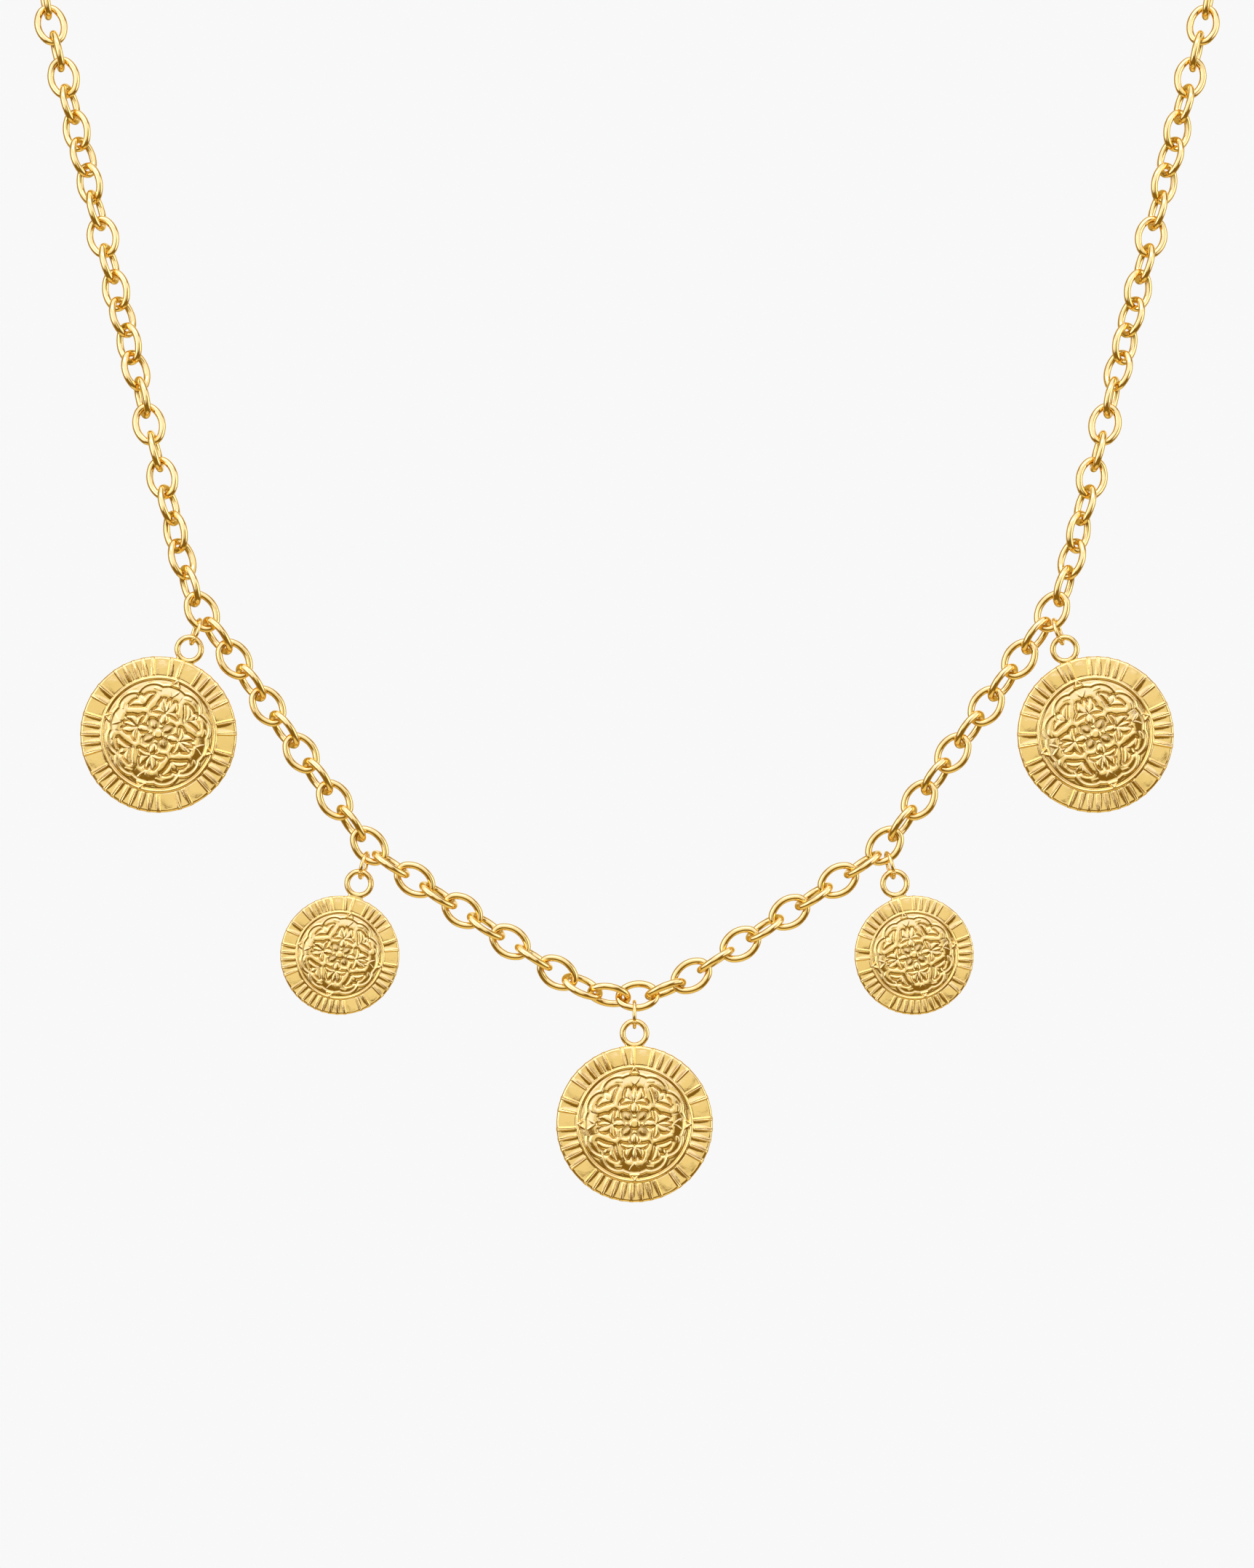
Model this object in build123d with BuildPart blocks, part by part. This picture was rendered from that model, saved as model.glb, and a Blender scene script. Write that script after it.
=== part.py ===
"""A necklace of oval cable links that carries five cast coin medallions on jump rings.

+Z is up, +X is the wearer's left as seen from the front, and the front faces -Y. The origin is
the middle of the clasp, where the necklace sits on the nape. All sizes are in millimetres and
all angles in degrees.
"""

import math
import os

from build123d import *

os.makedirs("parts", exist_ok=True)

# Chain link: an oval of round wire whose centre line is two round ends and two flatter sides
link_length = 5.12
link_width = 3.85
link_wire = 0.81
link_end_radius = 1.2
link_play = 0.18

# Medallion, with sizes for the large one; the small one is the same casting at another radius
large_radius = 9.0
small_radius = 6.85
rim_height = 0.95
edge_round = 0.3
ring_crest_height = 1.33
dome_height = 1.25
relief_height = 0.24
rib_height = 0.3
rib_draft = 20
rib_root = 0.1

# Loop cast on the top of a medallion
loop_outer = 3.4
loop_wire = 0.66
large_loop_reach = 1.4
small_loop_reach = 1.67
neck_half_width = 0.85
neck_top_half_width = 0.5
neck_root = 0.5
neck_thickness = 0.6

# Jump ring
ring_outer = 3.4
ring_wire = 0.43
hang_play = 0.13

# Clasp: a plain ring with an eye on one side
clasp_outer = 6.5
clasp_wire = 1.3
eye_outer = 3.0
eye_wire = 0.7
eye_overlap = 0.35

# Route of one half of the chain, from the front centre over the shoulder to the nape, for the
# half on the -X side, and the radius of the bend at each corner between its ends
route_corners = [
    (0, -92, -149.5),
    (-3.6, -92, -149.5),
    (-29.3, -92, -132.8),
    (-49.9, -92, -103.9),
    (-71.8, -71.6, -18.0),
    (-66.0, -22.0, -5.0),
    (-38.0, 0, 0),
    (0, 0, 0),
]
route_bends = [12.0, 10.0, 14.0, 34.0, 50.0, 40.0]

# Turn of each link about the chain, outward from the front centre: at 0 the link lies flat to
# the viewer, and at 90 it is seen on its edge. The rows run from the centre to the small drop,
# from there to the large drop, and past it. Both drops hang from links that lie flat.
front_turns = [-50, 60, -10, 84, 0, 72, -4, 75, -5, 80]
middle_turns = [0, -70, 8, -62, 8, -62, 8, -62, 8, -62]
upper_turns = [
    10, -62, 45, -45, 65, -15, 85, 0, -70, 42, -42, 50, -32, 70, -8, 72, -38, 50, -32, 70,
    -8, -78,
]
# The other half's first links, which turn on until they meet the first half's
other_front_turns = [26, 106, 7, 95]
# How far the slack lets the links at the front centre slide toward the left half
centre_slide = 0.45

# Hangers: the link that carries each drop, counted from the front centre, how far the drop
# leans out from plumb, how far round the link's wire its ring sits, from the link's lower end,
# and the ring's own turn
centre_link, centre_lean, centre_seat, centre_ring_turn = 0, 0, 80, 0
small_link, small_lean, small_seat, small_ring_turn = 10, 15, 72, -9
large_link, large_lean, large_seat, large_ring_turn = 20, 19.8, 65, 11

# Ribs round a medallion's rim, in groups: first rib clockwise from the top, count and spacing
rib_groups = [
    (14.5, 5, 7.4),
    (60, 2, 9.5),
    (86, 5, 8.1),
    (135, 2, 9),
    (160, 9, 7.45),
    (235.5, 5, 7.65),
    (281, 2, 9),
    (306, 5, 7.5),
    (350.5, 2, 8.5),
]

# Places across a medallion's face, as shares of its radius
rib_inner, rib_outer = 0.765, 0.975
rib_inner_width, rib_outer_width = 0.036, 0.056
ring_outside, ring_middle, ring_inside = 0.755, 0.72, 0.685
frame_lobe, frame_cusp, frame_point = 0.652, 0.575, 0.6
frame_line = 0.022
boss_radius = 0.062
bud_place, bud_radius = 0.215, 0.04

# Leaves of the ornament, four times round: how far out each springs, which way round from the
# axis it stands, its own turn from pointing outward, and its length and width, in radii
leaf_rows = [
    (0.03, 45, 0, 0.2, 0.13),
    (0.26, 0, 0, 0.23, 0.085),
    (0.25, 0, 34, 0.22, 0.08),
    (0.25, 0, -34, 0.22, 0.08),
    (0.22, 0, 82, 0.17, 0.06),
    (0.22, 0, -82, 0.17, 0.06),
    (0.55, 0, 0, 0.11, 0.055),
    (0.33, 45, 0, 0.2, 0.075),
    (0.36, 45, 42, 0.19, 0.06),
    (0.36, 45, -42, 0.19, 0.06),
]

# Worked out from the above
link_half_length = (link_length - link_wire) / 2
link_half_width = (link_width - link_wire) / 2
link_end_centre = link_half_length - link_end_radius
link_side_radius = (link_end_centre**2 + link_half_width**2 - link_end_radius**2) / (
    2 * (link_half_width - link_end_radius)
)
link_side_centre = link_side_radius - link_half_width
link_joint = math.degrees(math.atan2(link_end_centre, link_side_centre))
link_pitch = link_length - 2 * link_wire - link_play
loop_radius = (loop_outer - loop_wire) / 2
ring_radius = (ring_outer - ring_wire) / 2
clasp_radius = (clasp_outer - clasp_wire) / 2
eye_radius = (eye_outer - eye_wire) / 2
clasp_to_eye = clasp_outer / 2 + eye_outer / 2 - eye_overlap
clasp_to_link = clasp_outer / 2 - clasp_wire - link_play - link_wire / 2 + link_half_length
eye_to_link = eye_outer / 2 - eye_wire - link_play - link_wire / 2 + link_half_length
clasp_span = clasp_to_link + clasp_to_eye + eye_to_link

# One half of the chain's route
with BuildLine() as route:
    FilletPolyline(*route_corners, radius=route_bends)
half_route = route.wire()
half_length = half_route.length - clasp_span / 2
links_a_side = round(half_length / link_pitch + 0.5)
pitch = half_length / (links_a_side - 0.5)


def even_turns(first, last, steps):
    """Turns of links that turn on evenly, each about a quarter turn, up to the one after them."""
    to_go = last - first
    to_go += 180 * round((90 * steps - to_go) / 180)
    return [first + step * to_go / steps for step in range(steps)]


def stretch_turns(charted, last, steps):
    """Turns of a stretch's links: the charted ones, or even ones if it has more or fewer."""
    return charted if len(charted) == steps else even_turns(charted[0], last, steps)


def side_turns(side, last_turn):
    """Turn of each link on one side, where the links past the charted ones turn on evenly."""
    first = other_front_turns + front_turns[len(other_front_turns):] if side > 0 else front_turns
    turns = stretch_turns(first, middle_turns[0], small_link)
    turns = turns + stretch_turns(middle_turns, upper_turns[0], large_link - small_link)
    turns = turns + upper_turns[:-1]
    steps = links_a_side - 1 - len(turns)
    return turns + even_turns(upper_turns[-1], last_turn, steps) + [last_turn]


def joint_point(number, side):
    """Where two links meet, folded onto the modelled half of the route.

    The slack lets the joints between the front centre and the small drops slide a little.
    """
    slide = centre_slide * max(0, 1 - number / small_link)
    way = number * pitch - side * slide
    point = half_route.position_at(abs(way), position_mode=PositionMode.LENGTH)
    return Vector(math.copysign(1, way) * point.X, point.Y, point.Z)


def half_chain_planes(side):
    """Plane of each link on one side: X along the chain, Y across the link, Z through its hole.

    Each link spans two joints. A direction that points away from the viewer at the front is
    carried along the chain without twisting, and each link is turned from it. The last link
    lies level, so that it passes through the upright clasp.
    """
    joints = [joint_point(number, side) for number in range(links_a_side + 1)]
    spans = list(zip(joints, joints[1:]))
    away = Vector(0, 1, 0)
    frames = []
    for inner, outer in spans:
        along = (outer - inner).normalized()
        away = (away - along * away.dot(along)).normalized()
        frames.append((along, away, away.cross(along)))
    _, last_away, last_across = frames[-1]
    level = Vector(0, 1, 0)
    last_turn = math.degrees(math.atan2(level.dot(last_away), level.dot(last_across)))
    turns = side_turns(side, last_turn)
    planes = []
    for (inner, outer), (along, away, across), degrees in zip(spans, frames, turns):
        turn = math.radians(degrees)
        width_way = across * math.cos(turn) + away * math.sin(turn)
        origin, along, width_way = (
            Vector(-side * v.X, v.Y, v.Z) for v in ((inner + outer) / 2, along, width_way)
        )
        planes.append(Plane(origin=origin, x_dir=along, z_dir=along.cross(width_way)))
    return planes


def seat_on(plane, seat):
    """Point on a link's centre line at an angle from its lower end, round its lower side, and
    the way that the wire runs there."""
    end_way = -math.copysign(1, plane.x_dir.Z)
    side_way = -math.copysign(1, plane.y_dir.Z)
    pull = Vector(
        end_way * math.cos(math.radians(seat)), side_way * math.sin(math.radians(seat)), 0
    )
    if abs(pull.X) > math.sin(math.radians(link_joint)):
        centre = Vector(math.copysign(link_end_centre, pull.X), 0, 0)
        radius = link_end_radius
    else:
        centre = Vector(0, -math.copysign(link_side_centre, pull.Y), 0)
        radius = link_side_radius
    wire_way = plane.y_dir * pull.X - plane.x_dir * pull.Y
    return plane.from_local_coords(centre + pull * radius), wire_way


def leaning(angle, side):
    """Direction down and outward at an angle from plumb."""
    return Vector(side * math.sin(math.radians(angle)), 0, -math.cos(math.radians(angle)))


# One chain link, flat in the XY plane with its length along X
joint_x = link_end_centre + link_end_radius * math.sin(math.radians(link_joint))
joint_y = link_end_radius * math.cos(math.radians(link_joint))
with BuildPart() as link:
    with BuildLine() as oval:
        ThreePointArc((-joint_x, joint_y), (0, link_half_width), (joint_x, joint_y))
        ThreePointArc((joint_x, joint_y), (link_half_length, 0), (joint_x, -joint_y))
        ThreePointArc((joint_x, -joint_y), (0, -link_half_width), (-joint_x, -joint_y))
        ThreePointArc((-joint_x, -joint_y), (-link_half_length, 0), (-joint_x, joint_y))
    with BuildSketch(oval.wire() ^ 0):
        Circle(link_wire / 2)
    sweep()

# Both halves of the chain
planes = {"left": half_chain_planes(-1), "right": half_chain_planes(1)}
for name, places in planes.items():
    with BuildPart() as half_chain:
        with Locations(*places):
            add(link.part)
    half_chain.part.label = f"chain_{name}"
    export_step(half_chain.part, f"parts/chain_{name}.step")

# Clasp, upright on the nape, with its eye toward the left half of the chain
clasp_x = clasp_span / 2 - clasp_to_link
with BuildPart() as clasp:
    with Locations(Location((clasp_x, 0, 0), (90, 0, 0))):
        Torus(clasp_radius, clasp_wire / 2)
    with Locations(Location((clasp_x - clasp_to_eye, 0, 0), (90, 0, 0))):
        Torus(eye_radius, eye_wire / 2)
clasp.part.label = "clasp"
export_step(clasp.part, "parts/clasp.step")


def polar(radius, angle):
    """Point in a sketch at a radius and an angle from X."""
    return (radius * math.cos(math.radians(angle)), radius * math.sin(math.radians(angle)))


def leaf_sketch(length, width):
    """A leaf with two curved edges, from its root at the origin to its tip along X."""
    with BuildSketch() as leaf:
        with BuildLine():
            ThreePointArc((0, 0), (length / 2, width / 2), (length, 0))
            ThreePointArc((length, 0), (length / 2, -width / 2), (0, 0))
        make_face()
    return leaf.sketch


def frame_sketch(radius):
    """Two lobes of the line that frames the ornament, one each side of X."""
    with BuildSketch() as frame:
        with BuildLine() as lobe:
            ThreePointArc(
                polar(frame_point * radius, 0),
                polar(frame_lobe * radius, 22.5),
                polar(frame_cusp * radius, 45),
            )
        trace(line_width=frame_line * radius)
        mirror(about=Plane.XZ)
    return frame.sketch


def cast_medallion(radius, loop_reach):
    """A medallion that faces +Z with its loop toward +Y, and its back at Z 0."""
    size = radius / large_radius
    rim = rim_height * size
    dome = dome_height * size
    relief = relief_height * size
    edge = edge_round * size
    field_radius = ring_inside * radius
    field_sphere = (field_radius**2 + (dome - rim) ** 2) / (2 * (dome - rim))
    leaves = [
        (leaf_sketch(length * radius, width * radius), root * radius, bearing, turn)
        for root, bearing, turn, length, width in leaf_rows
    ]
    frame = frame_sketch(radius)
    with BuildPart() as ornament:
        with BuildSketch(Plane.XY.offset(rim / 2)):
            Circle(boss_radius * radius)
            with PolarLocations(bud_place * radius, 4):
                Circle(bud_radius * radius)
            for leaf, root, bearing, turn in leaves:
                with PolarLocations(0, 4, start_angle=bearing):
                    with Locations(Location((root, 0, 0), (0, 0, turn))):
                        add(leaf)
            with PolarLocations(0, 4):
                add(frame)
        extrude(amount=dome + relief)
        with BuildSketch(Plane.XZ):
            with BuildLine():
                Polyline(
                    (0, dome + relief),
                    (0, 0),
                    (field_radius, 0),
                    (field_radius, rim + relief),
                )
                RadiusArc((field_radius, rim + relief), (0, dome + relief), -field_sphere)
            make_face()
        revolve(axis=Axis.Z, mode=Mode.INTERSECT)
    with BuildPart() as medallion:
        with BuildSketch(Plane.XZ):
            with BuildLine():
                Polyline((0, dome), (0, 0), (radius - edge, 0))
                RadiusArc((radius - edge, 0), (radius, edge), -edge)
                Line((radius, edge), (radius, rim - edge))
                RadiusArc((radius, rim - edge), (radius - edge, rim), -edge)
                Line((radius - edge, rim), (ring_outside * radius, rim))
                ThreePointArc(
                    (ring_outside * radius, rim),
                    (ring_middle * radius, ring_crest_height * size),
                    (field_radius, rim),
                )
                RadiusArc((field_radius, rim), (0, dome), -field_sphere)
            make_face()
        revolve(axis=Axis.Z)
        with BuildSketch(Plane.XY.offset(rim - rib_root * size)):
            for first, count, spacing in rib_groups:
                with PolarLocations(0, count, 90 - first, -spacing * count):
                    Polygon(
                        (rib_inner * radius, -rib_inner_width * radius / 2),
                        (rib_outer * radius, -rib_outer_width * radius / 2),
                        (rib_outer * radius, rib_outer_width * radius / 2),
                        (rib_inner * radius, rib_inner_width * radius / 2),
                        align=None,
                    )
        extrude(amount=(rib_height + rib_root) * size, taper=rib_draft)
        add(ornament.part)
        loop_centre = radius + loop_reach
        with BuildSketch(Plane.XY.offset(rim / 2 - neck_thickness / 2)):
            Polygon(
                (-neck_half_width, radius - neck_root),
                (neck_half_width, radius - neck_root),
                (neck_top_half_width, loop_centre - loop_radius),
                (-neck_top_half_width, loop_centre - loop_radius),
                align=None,
            )
        extrude(amount=neck_thickness)
        with Locations((0, loop_centre, rim / 2)):
            Torus(loop_radius, loop_wire / 2)
    return medallion.part


def hang(link_plane, seat, down, ring_turn, radius, loop_reach):
    """Planes of a jump ring and a medallion that hang from a link.

    Wire rests on wire with a small play at each meeting. The ring's plane has Z through its
    hole, and the medallion's plane has Z toward the viewer and Y up to its loop.
    """
    up = down * -1
    across = up.cross(Vector(0, -1, 0))
    turn = math.radians(ring_turn)
    hole_way = across * math.cos(turn) + Vector(0, 1, 0) * math.sin(turn)
    wire_point, wire_way = seat_on(link_plane, seat)
    link_drop = (link_wire / 2 + hang_play + ring_wire / 2) / abs(hole_way.dot(wire_way))
    loop_drop = (loop_wire / 2 + hang_play + ring_wire / 2) / abs(hole_way.dot(across))
    ring_centre = wire_point + down * (ring_radius - link_drop)
    loop_centre = ring_centre + down * (ring_radius - loop_drop + loop_radius)
    half_rim = rim_height * radius / large_radius / 2
    coin_centre = loop_centre + down * (loop_reach + radius) + Vector(0, half_rim, 0)
    return (
        Plane(origin=ring_centre, x_dir=up, z_dir=hole_way),
        Plane(origin=coin_centre, x_dir=across, z_dir=(0, -1, 0)),
    )


# The two castings
large_casting = cast_medallion(large_radius, large_loop_reach)
small_casting = cast_medallion(small_radius, small_loop_reach)

# Centre drop, which hangs plumb from the first link of the right half
ring_plane, coin_plane = hang(
    planes["right"][centre_link],
    centre_seat,
    leaning(centre_lean, -1),
    centre_ring_turn,
    large_radius,
    large_loop_reach,
)
with BuildPart() as centre_jump_ring:
    with Locations(ring_plane):
        Torus(ring_radius, ring_wire / 2)
centre_jump_ring.part.label = "centre_jump_ring"
export_step(centre_jump_ring.part, "parts/centre_jump_ring.step")
with BuildPart() as centre_medallion:
    with Locations(coin_plane):
        add(large_casting)
centre_medallion.part.label = "centre_medallion"
export_step(centre_medallion.part, "parts/centre_medallion.step")

# Side drops on the left half, and their mirror images on the right
side_drops = {
    "large": (
        large_link, large_seat, large_lean, large_ring_turn,
        large_radius, large_loop_reach, large_casting,
    ),
    "small": (
        small_link, small_seat, small_lean, small_ring_turn,
        small_radius, small_loop_reach, small_casting,
    ),
}
for name, (number, seat, lean, ring_turn, radius, reach, casting) in side_drops.items():
    ring_plane, coin_plane = hang(
        planes["left"][number], seat, leaning(lean, -1), ring_turn, radius, reach
    )
    with BuildPart() as left_ring:
        with Locations(ring_plane):
            Torus(ring_radius, ring_wire / 2)
    with BuildPart() as left_coin:
        with Locations(coin_plane):
            add(casting)
    with BuildPart() as right_ring:
        mirror(left_ring.part, about=Plane.YZ)
    with BuildPart() as right_coin:
        mirror(left_coin.part, about=Plane.YZ)
    left_ring.part.label = f"{name}_jump_ring_left"
    export_step(left_ring.part, f"parts/{name}_jump_ring_left.step")
    left_coin.part.label = f"{name}_medallion_left"
    export_step(left_coin.part, f"parts/{name}_medallion_left.step")
    right_ring.part.label = f"{name}_jump_ring_right"
    export_step(right_ring.part, f"parts/{name}_jump_ring_right.step")
    right_coin.part.label = f"{name}_medallion_right"
    export_step(right_coin.part, f"parts/{name}_medallion_right.step")
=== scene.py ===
"""Looks of a coin necklace: polished cable links, cast medallions, jump rings and a plain clasp.

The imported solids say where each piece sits. Every link, ring and medallion reads its place from
its solid and is built again there as a smooth, detailed mesh, in the solid's own sizes. Local
shapes are worked out in millimetres and put into the frame in metres.
"""

import logging
import math
from dataclasses import dataclass
from enum import Enum

import bpy
import numpy as np
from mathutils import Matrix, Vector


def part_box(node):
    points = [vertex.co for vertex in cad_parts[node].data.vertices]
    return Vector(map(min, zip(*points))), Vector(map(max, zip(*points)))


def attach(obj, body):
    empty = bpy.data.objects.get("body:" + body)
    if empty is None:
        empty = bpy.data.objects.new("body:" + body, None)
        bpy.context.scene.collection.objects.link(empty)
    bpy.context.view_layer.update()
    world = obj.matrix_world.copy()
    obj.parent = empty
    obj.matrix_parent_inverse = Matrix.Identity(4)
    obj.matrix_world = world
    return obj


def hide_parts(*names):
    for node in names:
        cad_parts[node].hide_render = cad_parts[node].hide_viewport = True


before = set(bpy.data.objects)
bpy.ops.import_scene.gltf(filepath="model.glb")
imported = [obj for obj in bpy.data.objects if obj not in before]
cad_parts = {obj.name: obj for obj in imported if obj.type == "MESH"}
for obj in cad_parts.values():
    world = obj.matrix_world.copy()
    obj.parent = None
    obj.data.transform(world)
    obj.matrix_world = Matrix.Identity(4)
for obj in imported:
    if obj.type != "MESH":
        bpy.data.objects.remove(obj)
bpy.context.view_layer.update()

log = logging.getLogger("necklace")

MM = 0.001

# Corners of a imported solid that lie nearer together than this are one, in metres
WELD = 1e-7

ROOT_BODY = "necklace"

# Where a tube's painted shade starts and is full, from -1 on its outer side to 1 on its inner
# side
INNER_SHADE_START = -0.2
INNER_SHADE_FULL = 0.9

# Names of the shared shader groups
TONE_SHADE_GROUP = "gold tone and painted shade"
POLISH_GROUP = "handled polish"
SKIN_GROUP = "cast skin"

# Sockets of a Mix node that mixes colours
MIX_FIRST = 6
MIX_SECOND = 7
MIX_RESULT = 2


class Slot(Enum):
    """Material slots of the record."""

    CHAIN = "chain_gold"
    MEDALLION = "medallion_gold"
    RING = "ring_gold"


class Relief(Enum):
    """How a leaf of the ornament stands on its ground."""

    RAISED = "raised"
    SUNK = "a hollow with a low swell in it"
    LINE = "thin line on open ground"


def soft_step(value: np.ndarray, start: float, end: float) -> np.ndarray:
    """A smooth rise from 0 at start to 1 at end.

    Args:
        value: Where to read the rise.
        start: Value that gives 0.
        end: Value that gives 1.

    Returns:
        The rise at each value, between 0 and 1.
    """
    share = np.clip((value - start) / (end - start), 0, 1)
    return share * share * (3 - 2 * share)


def bell(value: np.ndarray, width: float) -> np.ndarray:
    """A bell curve with its top of 1 at 0 and the given width."""
    return np.exp(-((value / width) ** 2))


def soft_least(values: list[np.ndarray], blend: float) -> np.ndarray:
    """The least of several values, with a smooth change from one to the next.

    Args:
        values: The values, one array each.
        blend: How far from a change the smoothing reaches.

    Returns:
        The smooth least, never above the true one.
    """
    stack = np.stack(values)
    least = stack.min(axis=0)
    return least - blend * np.log(np.exp((least - stack) / blend).sum(axis=0))


@dataclass
class Shell:
    """A mesh in the making.

    Attributes:
        points: Corners, one row each.
        faces: Corner numbers of each face.
        painted_shade: How much painted shade darkens each corner's colour in hollows, joints and
            the insides of links, from 0 to 1; the same mask makes them matt.
    """

    points: np.ndarray
    faces: list[tuple[int, ...]]
    painted_shade: np.ndarray

    @staticmethod
    def joined(shells: "list[Shell]") -> "Shell":
        """Several shells as one.

        Args:
            shells: The shells, in the order that their corners take.

        Returns:
            One shell with all their corners and faces.
        """
        starts = np.cumsum([0] + [len(shell.points) for shell in shells])
        faces = [
            tuple(corner + int(start) for corner in face)
            for shell, start in zip(shells, starts)
            for face in shell.faces
        ]
        return Shell(
            np.concatenate([shell.points for shell in shells]),
            faces,
            np.concatenate([shell.painted_shade for shell in shells]),
        )

    def mesh(self, name: str) -> bpy.types.Mesh:
        """The shell as a smooth-shaded mesh that carries its painted shade.

        Args:
            name: Name of the mesh.

        Returns:
            The new mesh.
        """
        mesh = bpy.data.meshes.new(name)
        mesh.from_pydata(self.points.tolist(), [], self.faces)
        # Painted shade: a per-corner mask that darkens the gold's colour where shade falls
        mesh.attributes.new("painted_shade", "FLOAT", "POINT").data.foreach_set(
            "value", self.painted_shade.astype(np.float32)
        )
        mesh.shade_smooth()
        return mesh


@dataclass(frozen=True)
class Place:
    """A spot in the frame with its own directions.

    Attributes:
        origin: The spot, in metres.
        axes: Its X, Y and Z directions, one row each.
    """

    origin: np.ndarray
    axes: np.ndarray

    def put(self, shell: Shell) -> Shell:
        """A shell in local millimetres, moved to this place in metres."""
        points = self.origin + (shell.points * MM) @ self.axes
        return Shell(points, shell.faces, shell.painted_shade)


@dataclass(frozen=True)
class Surface:
    """Weighted surface points of one solid.

    Attributes:
        centres: Middle of each triangle, in metres.
        areas: Area of each triangle.
    """

    centres: np.ndarray
    areas: np.ndarray

    def place(self) -> Place:
        """The solid's own place.

        Returns:
            Its middle, with X along its longest way and Z along its thinnest.
        """
        weights = self.areas / self.areas.sum()
        middle = weights @ self.centres
        offsets = self.centres - middle
        _, ways = np.linalg.eigh((offsets * weights[:, None]).T @ offsets)
        long_way, thin_way = ways[:, 2], ways[:, 0]
        return Place(middle, np.array([long_way, np.cross(thin_way, long_way), thin_way]))


def loose_solids(node: str) -> list[Surface]:
    """The loose solids of a CAD node.

    Args:
        node: Name of the node.

    Returns:
        The surface of each solid, in the order of their lowest corner number.
    """
    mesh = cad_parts[node].data
    mesh.calc_loop_triangles()
    corners = np.empty(len(mesh.vertices) * 3, np.float32)
    mesh.vertices.foreach_get("co", corners)
    corners = corners.reshape(-1, 3).astype(float)
    triangles = np.empty(len(mesh.loop_triangles) * 3, np.int32)
    mesh.loop_triangles.foreach_get("vertices", triangles)
    triangles = triangles.reshape(-1, 3)
    _, same = np.unique(np.round(corners / WELD).astype(np.int64), axis=0, return_inverse=True)
    welded = same.reshape(-1)[triangles]
    label = np.arange(welded.max() + 1)
    # Every corner takes the lowest number among those it hangs together with
    while True:
        lowest = label.copy()
        np.minimum.at(lowest, welded, label[welded].min(axis=1)[:, None])
        lowest = lowest[lowest]
        if np.array_equal(lowest, label):
            break
        label = lowest
    first, second, third = (corners[triangles[:, k]] for k in range(3))
    centres = (first + second + third) / 3
    areas = np.linalg.norm(np.cross(second - first, third - first), axis=1) / 2
    owner = label[welded[:, 0]]
    return [Surface(centres[owner == one], areas[owner == one]) for one in np.unique(owner)]


def tube(
    line: np.ndarray, outward: np.ndarray, radius: np.ndarray, sides: int, painted_shade: np.ndarray
) -> Shell:
    """A round tube along a closed line in the XY plane.

    Args:
        line: Points of the line.
        outward: Direction away from the line's middle at each point.
        radius: The tube's radius at each point.
        sides: Number of sides of its section.
        painted_shade: Painted shade at each point, which the tube's inner side takes.

    Returns:
        The tube.
    """
    count = len(line)
    around = np.linspace(0, 2 * math.pi, sides, endpoint=False)
    level = radius[:, None] * np.cos(around)
    points = np.zeros((count, sides, 3))
    points[:, :, :2] = line[:, None, :] + outward[:, None, :] * level[:, :, None]
    points[:, :, 2] = radius[:, None] * np.sin(around)
    # Painted shade falls on the tube's inner side, where the next links cross
    inner = soft_step(-np.cos(around), INNER_SHADE_START, INNER_SHADE_FULL)
    faces = [
        (
            ring * sides + side,
            (ring + 1) % count * sides + side,
            (ring + 1) % count * sides + (side + 1) % sides,
            ring * sides + (side + 1) % sides,
        )
        for ring in range(count)
        for side in range(sides)
    ]
    return Shell(points.reshape(-1, 3), faces, (painted_shade[:, None] * inner).reshape(-1))


def ring_tube(radius: float, wire: float, steps: int, sides: int) -> Shell:
    """A torus round Z.

    Args:
        radius: Radius of its centre line, in millimetres.
        wire: Its thickness.
        steps: Steps round its centre line.
        sides: Sides of its section.

    Returns:
        The torus in local millimetres.
    """
    angle = np.linspace(0, 2 * math.pi, steps, endpoint=False)
    outward = np.stack([np.cos(angle), np.sin(angle)], axis=1)
    full = np.full(steps, wire / 2)
    return tube(outward * radius, outward, full, sides, np.zeros(steps))


def fused(shells: list[Shell], grid: float, rounds: int) -> Shell:
    """Overlapping shells melted into one skin, with soft joints as solder leaves.

    Args:
        shells: Closed shells in local millimetres.
        grid: Size of the new skin's faces.
        rounds: How often the skin is smoothed.

    Returns:
        The one skin.
    """
    mesh = Shell.joined(shells).mesh("melting")
    blank = bpy.data.objects.new("melting", mesh)
    bpy.context.scene.collection.objects.link(blank)
    remesh = blank.modifiers.new("skin", "REMESH")
    remesh.mode = "VOXEL"
    remesh.voxel_size = grid
    smooth = blank.modifiers.new("soften", "SMOOTH")
    smooth.factor = 0.5
    smooth.iterations = rounds
    graph = bpy.context.evaluated_depsgraph_get()
    skin = bpy.data.meshes.new_from_object(blank.evaluated_get(graph), depsgraph=graph)
    points = np.empty(len(skin.vertices) * 3, np.float32)
    skin.vertices.foreach_get("co", points)
    faces = [tuple(face.vertices) for face in skin.polygons]
    bpy.data.objects.remove(blank)
    bpy.data.meshes.remove(mesh)
    bpy.data.meshes.remove(skin)
    points = points.reshape(-1, 3).astype(float)
    return Shell(points, faces, np.zeros(len(points)))


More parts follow.
